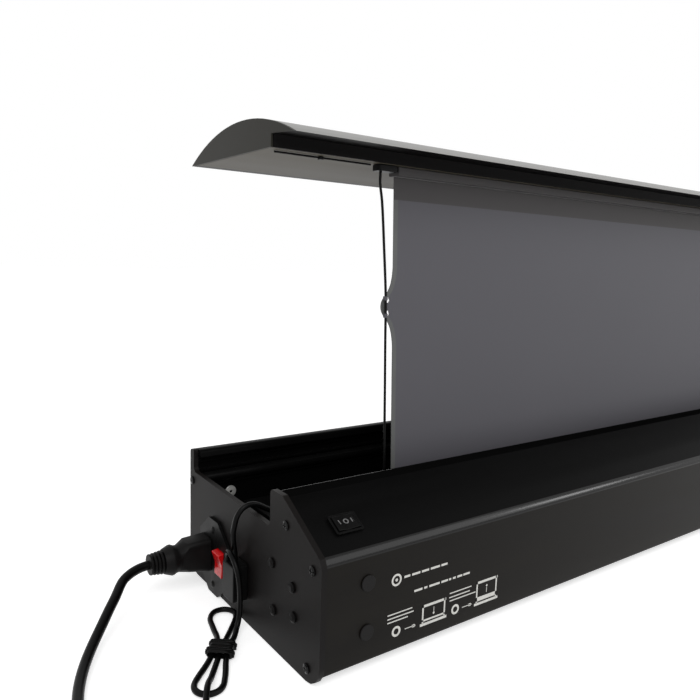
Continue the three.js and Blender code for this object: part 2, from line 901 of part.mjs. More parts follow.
// Bracket on the floor of the case, with an upright slot for each foot pin
function baseBracket() {
  const low = toeHeight + caseWall + seatGap;
  const slotHalf = pinRadius + footPinSlack;
  const top = baseSlotHigh + slotHalf + pinRadius;
  const back = footCheek + baseCheekThickness;
  const floor = alongZ(
    rectangle(-lidBracketHalf, back - baseBracketDepth, lidBracketHalf, back + gussetDepth),
    low,
    baseBracketThickness,
  );
  const cheek = alongY(
    rounded([[-lidBracketHalf, low], [lidBracketHalf, low], [lidBracketHalf, top, pinHeadRadius],
      [-lidBracketHalf, top, pinHeadRadius]]),
    footCheek,
    baseCheekThickness,
  );
  const gussetStarts = [-lidBracketHalf, -gussetThickness / 2, lidBracketHalf - gussetThickness];
  const gussets = gussetStarts.map((x) => alongX([
    new THREE.Vector2(back - baseCheekThickness / 2, low),
    new THREE.Vector2(back + gussetDepth, low),
    new THREE.Vector2(back + gussetDepth, low + baseBracketThickness),
    new THREE.Vector2(back - baseCheekThickness / 2, baseSlotHigh),
  ], x, gussetThickness));
  const slotLow = baseSlotLow - slotHalf;
  const slotHigh = baseSlotHigh + slotHalf;
  const slots = [-pivotHalfSpan, pivotHalfSpan].map((x) => alongY(
    rectangle(x - slotHalf, slotLow, x + slotHalf, slotHigh, slotHalf - seatGap),
    footCheek - overrun,
    baseCheekThickness + 2 * overrun,
  ));
  return cut(joined(floor, cheek, ...gussets), ...slots);
}

// Rocker switch outline from the side: two raised ends, a dip between them, a rounded core below
function rockerOutline(half, high, dip, low, core) {
  return rounded([
    [half, -low],
    [half, high, low / 2],
    [0, dip, half],
    [-half, high, low / 2],
    [-half, -low],
    [0, -core, low],
  ]);
}

// The bezel and its rocker sit on the slope, so their frame is tilted with it
function onSlope(geometry) {
  const height = slopeFront.y + (rockerFromFront - slopeFront.x) * Math.tan(slopeAngle);
  return geometry.rotateX(slopeAngle).translate(-halfLength + rockerAcross, rockerFromFront, height);
}

function bezelHole() {
  const halfWidth = rockerWidth / 2 - bezelRim / 2 + seatGap;
  const halfDepth = rockerDepth / 2 - bezelRim / 2 + seatGap;
  const outline = rectangle(-halfWidth, -halfDepth, halfWidth, halfDepth);
  return onSlope(alongZ(outline, -bezelBody, 2 * bezelBody));
}

function rockerBezel() {
  const rim = alongZ(
    rectangle(-rockerWidth / 2, -rockerDepth / 2, rockerWidth / 2, rockerDepth / 2, bezelRim),
    seatGap,
    bezelRise,
  );
  const halfWidth = rockerWidth / 2 - bezelRim / 2;
  const halfDepth = rockerDepth / 2 - bezelRim / 2;
  const body = alongZ(
    rectangle(-halfWidth, -halfDepth, halfWidth, halfDepth),
    -bezelBody,
    bezelBody + seatGap + bezelRise / 2,
  );
  const wellWidth = rockerWidth / 2 - bezelRim;
  const wellDepth = rockerDepth / 2 - bezelRim;
  const wellOutline = rectangle(-wellWidth, -wellDepth, wellWidth, wellDepth);
  const well = alongZ(wellOutline, bezelFloor - bezelBody, 2 * bezelBody);
  return onSlope(cut(joined(rim, body), well));
}

function controlRocker() {
  const half = rockerWidth / 2 - bezelRim - 2 * seatGap;
  const depth = rockerDepth - 2 * bezelRim - 2 * seatGap;
  const outline = rockerOutline(half, rockerHigh, rockerDip, rockerLow, rockerCore);
  return onSlope(alongY(outline, -depth / 2, depth));
}

function limitPlug(z) {
  const points = [
    [0, -limitPlugFlange - seatGap],
    [limitPlugRadius - seatGap, -limitPlugFlange - seatGap],
    [limitPlugRadius, -limitPlugFlange / 2 - seatGap],
    [limitPlugRadius, -seatGap],
    [limitPlugStem, -seatGap],
    [limitPlugStem, limitPlugStemLength],
    [0, limitPlugStemLength],
  ];
  return turnedUp(points, 2 * smallSides).translate(-halfLength + limitPlugAcross, frontFace, z);
}

// Power inlet with a socket and a switch well, on the outside of the left end plate
function powerInlet() {
  const halfWidth = inletWidth / 2;
  const halfFlange = inletFlange / 2;
  const halfEars = inletEars / 2;
  const halfEar = inletEarWidth / 2;
  const outline = rounded([
    [-halfWidth, -halfFlange, inletThickness],
    [-halfEar, -halfEars, inletThickness],
    [halfEar, -halfEars, inletThickness],
    [halfWidth, -halfFlange, inletThickness],
    [halfWidth, halfFlange, inletThickness],
    [halfEar, halfEars, inletThickness],
    [-halfEar, halfEars, inletThickness],
    [-halfWidth, halfFlange, inletThickness],
  ]).map((point) => point.add(new THREE.Vector2(inletDepth, inletHeight)));
  const flange = alongX(outline, -seatGap - inletThickness, inletThickness);
  const body = alongX(rectangle(
    inletDepth - inletBodyWidth / 2,
    inletHeight - inletBodyHeight / 2,
    inletDepth + inletBodyWidth / 2,
    inletHeight + inletBodyHeight / 2,
  ), -seatGap - inletThickness / 2, inletBodyLength);
  const outside = -seatGap - inletThickness - overrun;
  const socket = alongX(rectangle(
    socketDepth - socketWidth / 2,
    inletHeight - socketHeight / 2,
    socketDepth + socketWidth / 2,
    inletHeight + socketHeight / 2,
    socketCorner,
  ), outside, socketHollow + overrun);
  const well = alongX(rectangle(
    powerRockerDepth - powerRockerWidth / 2 - seatGap,
    inletHeight - powerRockerHeight / 2 - rockerEdgeGap / 2,
    powerRockerDepth + powerRockerWidth / 2 + seatGap,
    inletHeight + powerRockerHeight / 2 + rockerEdgeGap / 2,
  ), outside, powerRockerHollow + inletThickness + overrun);
  const screws = [-1, 1].map((side) => turned([
    [0, inletThickness + plateThickness],
    [plateScrewShank, inletThickness + plateThickness],
    [plateScrewShank, inletThickness / 2],
    [inletScrewRadius, inletThickness / 2],
    [inletScrewRadius, 0],
    [inletScrewRadius / 2, -inletScrewRise],
    [0, -inletScrewRise],
  ], -seatGap - inletThickness, inletDepth, inletHeight + side * inletScrewSpan, smallSides));
  return cut(joined(flange, body, ...screws), socket, well).translate(-halfLength, 0, 0);
}

// Red switch of the inlet, resting pressed in at its lower end
function powerRocker() {
  const half = powerRockerHeight / 2 - rockerEdgeGap / 2;
  const outline = rockerOutline(half, powerRockerProud, powerRockerDip, powerRockerLow, powerRockerCore);
  const middle = new THREE.Vector2();
  const tilted = outline.map(({ x, y }) => (
    new THREE.Vector2(-y, x).rotateAround(middle, powerRockerTilt)
  ));
  return alongY(tilted, powerRockerDepth - powerRockerWidth / 2, powerRockerWidth)
    .translate(-halfLength, 0, inletHeight);
}

function jackBlock() {
  const half = jackWidth / 2;
  const outline = rectangle(jackDepth - half, jackLow, jackDepth + half, jackHigh, jackCorner);
  const body = alongX(outline, -jackProud, jackProud - seatGap);
  return body.translate(-halfLength, 0, 0);
}

function controlBox() {
  const start = -halfLength + controlBoxStart;
  const low = toeHeight + caseWall + seatGap;
  return alongX(rectangle(
    controlBoxFront,
    low,
    controlBoxBack,
    controlBoxHeight,
    controlBoxCorner,
  ), start, controlBoxEnd - controlBoxStart);
}

// A cord along a smooth line of points, closed at both ends
function cord(points, diameter, steps, sides) {
  const path = new THREE.CatmullRomCurve3(points, false, 'centripetal');
  const shape = new THREE.Shape(circle(0, 0, diameter / 2, sides));
  return new THREE.ExtrudeGeometry(shape, { steps, extrudePath: path, curveSegments: 1 });
}

// Least clear space between stretches of one cord that lie further apart along it than a few diameters
function leastGap(points, diameter) {
  let least = Infinity;
  const along = [0];
  for (let i = 1; i < points.length; i++) along.push(along[i - 1] + points[i].distanceTo(points[i - 1]));
  for (let i = 0; i < points.length; i++) {
    for (let j = i + 1; j < points.length; j++) {
      if (along[j] - along[i] > selfGapReach * diameter) {
        least = Math.min(least, points[i].distanceTo(points[j]) - diameter);
      }
    }
  }
  return least;
}

// A table of places from the left end plate's outer face, with the depth counted from one place
function fromLeftEnd(depth, places) {
  return places.map(([x, y, z]) => new THREE.Vector3(x - halfLength, depth + y, z));
}

// Connector pushed into the inlet, narrowing to a neck, with a collar and a ribbed strain relief
function mainsConnector() {
  const outside = seatGap + inletThickness + seatGap;
  const section = (width, height, corner) => rectangle(
    socketDepth - width / 2,
    inletHeight - height / 2,
    socketDepth + width / 2,
    inletHeight + height / 2,
    corner,
  );
  const front = -outside - connectorProud;
  const block = alongX(
    section(connectorWidth, connectorHeight, connectorCorner),
    front - overrun,
    connectorProud + overrun,
  );
  const narrowing = turned([
    [0, 0],
    [connectorNeckRadius, 0],
    [connectorReachRadius, connectorTaper],
    [connectorReachRadius, connectorProud + overrun],
    [0, connectorProud + overrun],
  ], front, socketDepth, inletHeight, roundSides / 2);
  const body = common(block, narrowing);
  const tongue = alongX(
    section(connectorTongueWidth, connectorTongueHeight, connectorCorner),
    -outside - overrun,
    connectorTongue + overrun,
  );
  const ribLength = reliefRibbed / reliefRibs;
  const profile = [[0, 0]];
  for (let i = 0; i < reliefRibs; i++) {
    const radius = THREE.MathUtils.lerp(reliefTipRadius, reliefRadius, (i + 1) / reliefRibs);
    profile.push([radius, i * ribLength], [radius, (i + reliefRibShare) * ribLength]);
    const low = radius - reliefGroove;
    profile.push([low, (i + reliefRibShare) * ribLength], [low, (i + 1) * ribLength]);
  }
  const collarTop = reliefRibbed + collarRise;
  const neckStart = collarTop + collarFlat + collarBack;
  profile.push(
    [collarLowRadius, reliefRibbed],
    [collarRadius, collarTop],
    [collarRadius, collarTop + collarFlat],
    [connectorNeckRadius, neckStart],
    [connectorNeckRadius, reliefLength + overrun],
    [0, reliefLength + overrun],
  );
  const relief = turned(profile, front - reliefLength, socketDepth, inletHeight, roundSides / 2);
  return joined(body, tongue, relief).translate(-halfLength, 0, 0);
}

const reliefTip = -seatGap - inletThickness - seatGap - connectorProud - reliefLength;

// Free stretch of the mains lead, from the connector down to the floor and on to the coil
function mainsRoute() {
  return fromLeftEnd(socketDepth, [
    [reliefTip - seatGap, 0, inletHeight],
    [-52, -0.18, 29.93],
    [-56.8, -1.02, 29.58],
    [-62.2, -2.84, 28.83],
    [-67.2, -5.5, 27.74],
    [-71.6, -8.92, 26.33],
    [-80.4, -20.8, 21.6],
    [-86.8, -28.6, 18.1],
    [-93.4, -37.2, 14.4],
    [-99.9, -45.6, 10.8],
    [-106.3, -54.8, 7.8],
    [-112.2, -65, 5.6],
    [-117.4, -76.4, 4.3],
    [-121.8, -88.8, 3.7],
    [-125, -102, 3.6],
    [-126.2, -116, 3.6],
    [-125.8, -130, 3.6],
    [coilPlace[0] + coilOuter, coilPlace[1] + 2 * coilStraight, cordLift],
    [coilPlace[0] + coilOuter, coilPlace[1] + coilStraight + seatGap, cordLift],
  ]);
}

// The rest of the mains lead, wound in on the floor and out again on top, as one unbroken tube
function coilPoints() {
  const middle = coilTurns / 2;
  const points = [];
  const steps = Math.round(coilTurns * coilStepsPerTurn);
  for (let i = 0; i <= steps; i++) {
    const turns = (i / steps) * coilTurns;
    const radius = coilInner + coilPitch * Math.abs(turns - middle);
    const climb = THREE.MathUtils.clamp((turns - middle) / coilClimbShare + coilClimbShare, 0, 1);
    const angle = -2 * Math.PI * turns;
    points.push(new THREE.Vector3(
      coilPlace[0] - halfLength + radius * Math.cos(angle),
      socketDepth + coilPlace[1] + radius * Math.sin(angle),
      cordLift + coilPitch * climb,
    ));
  }
  const start = points[0].clone().add(new THREE.Vector3(0, coilStraight, 0));
  const end = points[points.length - 1].clone().add(new THREE.Vector3(-coilTail, 0, 0));
  return [start, ...points, end];
}

function mainsPlug(end) {
  const tip = end.x - seatGap;
  const body = alongX(rectangle(
    -plugWidth / 2,
    -plugHeight / 2,
    plugWidth / 2,
    plugHeight / 2,
    plugCorner,
  ), -plugTaper - plugLength, plugLength);
  const taper = turned([
    [0, -plugTaper - plugCorner],
    [plugHeight / 2, -plugTaper - plugCorner],
    [plugHeight / 2, -plugTaper],
    [plugTipRadius, 0],
    [0, 0],
  ], 0, 0, 0);
  const face = -plugTaper - plugLength;
  const blades = [-1, 1].map((side) => alongX(rectangle(
    side * bladeSpan / 2 - bladeThickness / 2,
    -bladeWidth / 2 + earthDrop / 2,
    side * bladeSpan / 2 + bladeThickness / 2,
    bladeWidth / 2 + earthDrop / 2,
  ), face - bladeLength, bladeLength + overrun));
  const earthOutline = circle(0, -earthDrop, earthRadius, smallSides);
  const earth = alongX(earthOutline, face - bladeLength, bladeLength + overrun);
  return joined(body, taper, ...blades, earth).translate(tip, end.y, end.z);
}

// Short lead out of the control box, over the notch and down into the jack block
function jackRoute() {
  return fromLeftEnd(jackDepth, [
    [46, -8, controlBoxHeight + seatGap],
    [46, -8, 62.5],
    [43.5, -8.2, 70],
    [37, -8.6, 75.5],
    [29, -8.8, 78],
    [20, -8.8, 80.6],
    [12.6, -8.8, 84.6],
    [5.6, -8.8, 88.4],
    [-0.6, -8.7, 89.1],
    [-5.6, -8.2, 86.6],
    [-8.6, -7.1, 81.6],
    [-9.6, -5.5, 75],
    [-9.5, -3.2, 67.5],
    [-8, -1.2, 58.5],
    [-6.4, 0, 50.5],
    [-6.4, 0, jackHigh + seatGap],
  ]);
}

// Receiver lead: out of the jack block's top, down to the floor, and round a tied bow
function receiverRoute() {
  const tie = leadDiameter / 2 + leadLift + tieWall + seatGap;
  return fromLeftEnd(jackDepth, [
    [-9.8, 5.2, 45.4],
    [-10, 4.9, 48.4],
    [-10.8, 2.9, 52],
    [-11.8, -1, 54.4],
    [-12.6, -5.8, 54.7],
    [-12.8, -10.8, 52.6],
    [-12.5, -15, 48.4],
    [-12.1, -17.8, 42.4],
    [-11.8, -19, 35.5],
    [-11.5, -19, 28.5],
    [-11.2, -18.3, 22],
    [-11, -17.5, 16.2],
    [-11.8, -17.7, 10.8],
    [-14.3, -20, 6.6],
    [-18.5, -25.1, 4.2],
    [-24.1, -30.9, tie],
    [-30.3, -38.8, tie],
    [-34.8, -46.6, 2.6],
    [-38.4, -54, 2.2],
    [-42.2, -61.2, 2.2],
    [-46.6, -67.9, 2.2],
    [-51.2, -70.9, 2.2],
    [-56.7, -70.8, 2.2],
    [-60.9, -67.5, 2.2],
    [-62.4, -62.2, 2.2],
    [-60.6, -57, 2.2],
    [-55.3, -51, 2.2],
    [-49.4, -45.4, 2.2],
    [-43.6, -39.8, 2.6],
    [-37.5, -33.1, tie],
    [-31.3, -25.2, tie],
    [-27.5, -16.8, 2.6],
    [-25.6, -8.1, 2.2],
    [-23.8, -0, 2.2],
    [-22.1, 6.9, 2.2],
    [-18.6, 12.8, 2.2],
    [-14, 16.1, 2.2],
    [-8.5, 15.8, 2.2],
    [-4.2, 12.3, 2.2],
    [-2.8, 6.9, 2.2],
    [-4.6, 1.6, 2.2],
    [-9.5, -5.5, 2.2],
    [-15.8, -13.3, 2.2],
    [-22.1, -21, 2.6],
    [-27.7, -28.1, tie],
    [-33.9, -35.9, tie],
    [-39.3, -43.1, 2.8],
    [-45.3, -51.1, 2.4],
    [-49.9, -57.6, 2.9],
    [-53.9, -63.5, 5],
    [-57.5, -69.5, 6.8],
    [-60.9, -75.7, 5],
    [-64.1, -82.8, 2.9],
    [-67.1, -91.2, 2.2],
    [-69.2, -99.7, 2.2],
    [-72.9, -106.5, 2.2],
    [-74.8, -112, 2.2],
    [-75.2, -116, 2.2],
  ]);
}

function receiverTie() {
  const width = 2 * bowStrand + leadDiameter + 2 * seatGap;
  const height = leadDiameter + 2 * seatGap;
  const outer = rectangle(
    -width / 2 - tieWall,
    -height / 2 - tieWall,
    width / 2 + tieWall,
    height / 2 + tieWall,
    tieWall,
  );
  const inner = rectangle(-width / 2, -height / 2, width / 2, height / 2, tieWall / 2);
  const band = cut(
    alongX(outer, -tieLength / 2, tieLength),
    alongX(inner, -tieLength / 2 - overrun, tieLength + 2 * overrun),
  );
  return band
    .rotateZ(tieTurn)
    .translate(tiePlace[0] - halfLength, jackDepth + tiePlace[1], leadDiameter / 2 + leadLift + tieWall + seatGap);
}

function receiverEye() {
  const [place] = receiverRoute().slice(-1);
  const outline = rectangle(place.x - eyeWidth / 2, -eyeLength, place.x + eyeWidth / 2, 0, eyeCorner);
  return alongZ(outline, leadLift, eyeHeight).translate(0, place.y - seatGap, 0);
}

// Case
add('front_housing', 'case_black', frontHousing());
add('rear_tray', 'case_black', rearTray());
add('left_end_plate', 'plate_black', endPlate(true));
add('right_end_plate', 'plate_black', mirrored(endPlate(false)));
const screwNames = ['rear', 'hump', 'nose', 'toe'];
screwPlaces.forEach(([y, z], i) => {
  add(`left_${screwNames[i]}_screw`, 'screw_black', plateScrew(y, z));
  add(`right_${screwNames[i]}_screw`, 'screw_black', mirrored(plateScrew(y, z)));
});

// Roller
add('left_roller_bracket', 'screw_black', rollerBracket());
add('right_roller_bracket', 'screw_black', mirrored(rollerBracket()));
add('roller_tube', 'aluminium', rollerTube());
add('wound_fabric', 'fabric_grey', woundFabric());
add('tubular_motor', 'steel', tubularMotor());
add('roller_crown', 'plastic_black', rollerCrown());
add('drive_wheel', 'plastic_black', driveWheel());
add('idler_cap', 'plastic_black', idlerCap());
add('idler_pin', 'steel', idlerPin());

// Lid and fabric
add('lid_shell', 'lid_black', lidShell());
add('lid_panel', 'panel_grey', lidPanel());
add('left_lid_cap', 'lid_grey', alongX(lidOutline(), lidStart, lidCapThickness));
add('right_lid_cap', 'lid_grey', alongX(lidOutline(), -lidStart - lidCapThickness, lidCapThickness));
add('fabric_rail', 'aluminium', fabricRail());
add('left_cord_clip', 'plastic_black', cordClip());
add('right_cord_clip', 'plastic_black', mirrored(cordClip()));
add('screen_fabric', 'fabric_grey', screenFabric());
add('left_tension_cord', 'cord_black', tensionCord());
add('right_tension_cord', 'cord_black', mirrored(tensionCord()));

// Folding arms
add('lid_bracket', 'steel', lidBracket());
add('base_bracket', 'steel', baseBracket());
for (const side of ['left', 'right']) {
  const placed = side === 'left' ? (geometry) => geometry : mirrored;
  add(`${side}_upper_arm`, 'aluminium', placed(upperArm()));
  add(`${side}_lower_arm`, 'aluminium', placed(lowerArm()));
  add(`${side}_lid_pin`, 'steel', placed(lidPin()));
  add(`${side}_elbow_pin`, 'steel', placed(elbowPin()));
  add(`${side}_foot_pin`, 'steel', placed(footPin()));
}

// Controls, inlet and leads
add('control_box', 'plastic_black', controlBox());
add('rocker_bezel', 'plastic_black', rockerBezel());
add('control_rocker', 'plastic_black', controlRocker());
add('upper_limit_plug', 'rubber_black', limitPlug(limitPlugHeights[0]));
add('lower_limit_plug', 'rubber_black', limitPlug(limitPlugHeights[1]));
add('power_inlet', 'plastic_black', powerInlet());
add('power_rocker', 'red', powerRocker());
add('jack_block', 'plastic_black', jackBlock());
add('mains_connector', 'rubber_black', mainsConnector());
add('mains_cord', 'cord_black', cord(mainsRoute(), mainsDiameter, mainsSteps, cordSides));
const coil = coilPoints();
add('mains_coil', 'cord_black', cord(coil, mainsDiameter, coil.length, coilSides));
add('mains_plug', 'rubber_black', mainsPlug(coil[coil.length - 1]));
add('jack_lead', 'cord_black', cord(jackRoute(), leadDiameter, jackSteps, cordSides));
add('receiver_lead', 'cord_black', cord(receiverRoute(), leadDiameter, receiverSteps, cordSides));
add('receiver_tie', 'cord_black', receiverTie());
add('receiver_eye', 'plastic_black', receiverEye());

console.log(`least gap in the mains coil ${leastGap(coil, mainsDiameter).toFixed(2)} mm`);
const bowCurve = new THREE.CatmullRomCurve3(receiverRoute(), false, 'centripetal');
const bow = bowCurve.getSpacedPoints(bowSteps);
console.log(`least gap in the receiver lead's bow ${leastGap(bow, leadDiameter).toFixed(2)} mm`);

export default part;
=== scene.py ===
# Floor-rising projection screen, dressed for the render
# Metres, +Z up, the same frame as the solids; places are typed in millimetres from the left end
import bmesh
import bpy
import json
import math
from mathutils import Matrix, Vector

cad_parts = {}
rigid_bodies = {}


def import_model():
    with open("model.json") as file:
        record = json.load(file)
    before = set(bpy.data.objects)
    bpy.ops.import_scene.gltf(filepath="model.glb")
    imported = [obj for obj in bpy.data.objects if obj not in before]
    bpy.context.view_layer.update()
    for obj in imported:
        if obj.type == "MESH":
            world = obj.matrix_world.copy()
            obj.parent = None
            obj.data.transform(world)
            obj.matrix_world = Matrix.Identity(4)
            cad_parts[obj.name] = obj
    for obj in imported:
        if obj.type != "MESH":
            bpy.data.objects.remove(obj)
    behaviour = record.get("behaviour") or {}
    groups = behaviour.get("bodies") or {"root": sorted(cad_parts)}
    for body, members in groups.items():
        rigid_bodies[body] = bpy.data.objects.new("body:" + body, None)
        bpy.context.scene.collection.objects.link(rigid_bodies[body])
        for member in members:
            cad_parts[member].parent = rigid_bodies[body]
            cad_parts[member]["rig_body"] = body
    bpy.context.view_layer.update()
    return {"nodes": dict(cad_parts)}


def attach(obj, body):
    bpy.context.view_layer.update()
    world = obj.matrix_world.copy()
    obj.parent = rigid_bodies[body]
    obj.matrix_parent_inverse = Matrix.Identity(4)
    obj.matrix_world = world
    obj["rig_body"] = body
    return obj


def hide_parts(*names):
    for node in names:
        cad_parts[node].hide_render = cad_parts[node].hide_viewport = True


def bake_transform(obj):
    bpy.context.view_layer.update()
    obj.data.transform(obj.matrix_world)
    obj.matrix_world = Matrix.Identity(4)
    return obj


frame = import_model()
scene = bpy.context.scene
scene.view_settings.view_transform = "Standard"

# Sizes shared with the solids, in millimetres
MM = 0.001
HALF_LENGTH = 910
HALF_DEPTH = 102.5
SOCKET_DEPTH = 164.99
JACK_DEPTH = 107.01
FRONT_FACE = 5.5
FABRIC_DEPTH = 86
FABRIC_HALF = 800.8
FABRIC_LEAN = 10.2
FABRIC_TOP = 323.9
ROLLER_DEPTH = 52
ROLLER_HEIGHT = 44
TAB_HEIGHT = 228


def place(x, y, z):
    """A point typed from the left end, the front face and the floor, in the frame's metres."""
    return Vector(((x - HALF_LENGTH) * MM, (y - HALF_DEPTH) * MM, z * MM))


def linear(red, green, blue):
    """A screen colour from 0 to 255 as a linear colour."""
    out = []
    for value in (red, green, blue):
        share = value / 255
        out.append(share / 12.92 if share <= 0.04045 else ((share + 0.055) / 1.055) ** 2.4)
    return (*out, 1)


# Camera at the photograph's viewing angle
camera_data = bpy.data.cameras.new("camera")
camera_data.lens = 34.6
camera_data.sensor_width = 36
camera_data.clip_start = 0.01
camera = bpy.data.objects.new("camera", camera_data)
scene.collection.objects.link(camera)
right = Vector((0.815, -0.5787, 0.0304)).normalized()
ahead = Vector((0.5773, 0.8063, -0.1284)).normalized()
upward = right.cross(ahead).normalized()
right = ahead.cross(upward).normalized()
turn = Matrix((right, upward, -ahead)).transposed()
camera.matrix_world = Matrix.Translation((-1.120, -0.4135, 0.260)) @ turn.to_4x4()
scene.camera = camera


# Materials
def surface(
    name,
    colour,
    second=None,
    rough=0.5,
    metal=0.0,
    stretch=(1, 1, 1),
    patch=12.0,
    grain=1800.0,
    grain_height=0.02,
    rough_spread=0.08,
    specular=0.5,
    coat=0.0,
    sheen=0.0,
    lines=None,
):
    """Patches of two colours, uneven gloss and a fine grain in relief."""
    material = bpy.data.materials.new(name)
    material.use_nodes = True
    nodes = material.node_tree.nodes
    links = material.node_tree.links
    shader = nodes["Principled BSDF"]
    shader.inputs["Metallic"].default_value = metal
    shader.inputs["Specular IOR Level"].default_value = specular
    shader.inputs["Coat Weight"].default_value = coat
    shader.inputs["Coat Roughness"].default_value = 0.25
    shader.inputs["Sheen Weight"].default_value = sheen
    coordinates = nodes.new("ShaderNodeTexCoord")
    mapping = nodes.new("ShaderNodeMapping")
    mapping.inputs["Scale"].default_value = stretch
    links.new(coordinates.outputs["Object"], mapping.inputs["Vector"])
    patches = nodes.new("ShaderNodeTexNoise")
    patches.inputs["Scale"].default_value = patch
    patches.inputs["Detail"].default_value = 4
    links.new(mapping.outputs["Vector"], patches.inputs["Vector"])
    ramp = nodes.new("ShaderNodeValToRGB")
    ramp.color_ramp.elements[0].position = 0.35
    ramp.color_ramp.elements[1].position = 0.68
    ramp.color_ramp.elements[0].color = linear(*colour)
    ramp.color_ramp.elements[1].color = linear(*(second or colour))
    links.new(patches.outputs["Fac"], ramp.inputs["Fac"])
    links.new(ramp.outputs["Color"], shader.inputs["Base Color"])
    fine = nodes.new("ShaderNodeTexNoise")
    fine.inputs["Scale"].default_value = grain
    fine.inputs["Detail"].default_value = 2
    links.new(mapping.outputs["Vector"], fine.inputs["Vector"])
    spread = nodes.new("ShaderNodeMapRange")
    spread.inputs["To Min"].default_value = rough - rough_spread
    spread.inputs["To Max"].default_value = rough + rough_spread
    links.new(patches.outputs["Fac"], spread.inputs["Value"])
    links.new(spread.outputs["Result"], shader.inputs["Roughness"])
    relief = fine.outputs["Fac"]
    if lines:
        # Weave or ribs: fine bands along each named direction, added to the grain
        for direction, count in lines:
            wave = nodes.new("ShaderNodeTexWave")
            wave.bands_direction = direction
            wave.inputs["Scale"].default_value = count
            wave.inputs["Distortion"].default_value = 0.4
            wave.inputs["Detail"].default_value = 1
            links.new(coordinates.outputs["Object"], wave.inputs["Vector"])
            total = nodes.new("ShaderNodeMath")
            total.operation = "ADD"
            links.new(relief, total.inputs[0])
            links.new(wave.outputs["Fac"], total.inputs[1])
            relief = total.outputs["Value"]
    bump = nodes.new("ShaderNodeBump")
    bump.inputs["Strength"].default_value = 0.6
    bump.inputs["Distance"].default_value = grain_height * MM
    links.new(relief, bump.inputs["Height"])
    links.new(bump.outputs["Normal"], shader.inputs["Normal"])
    return material


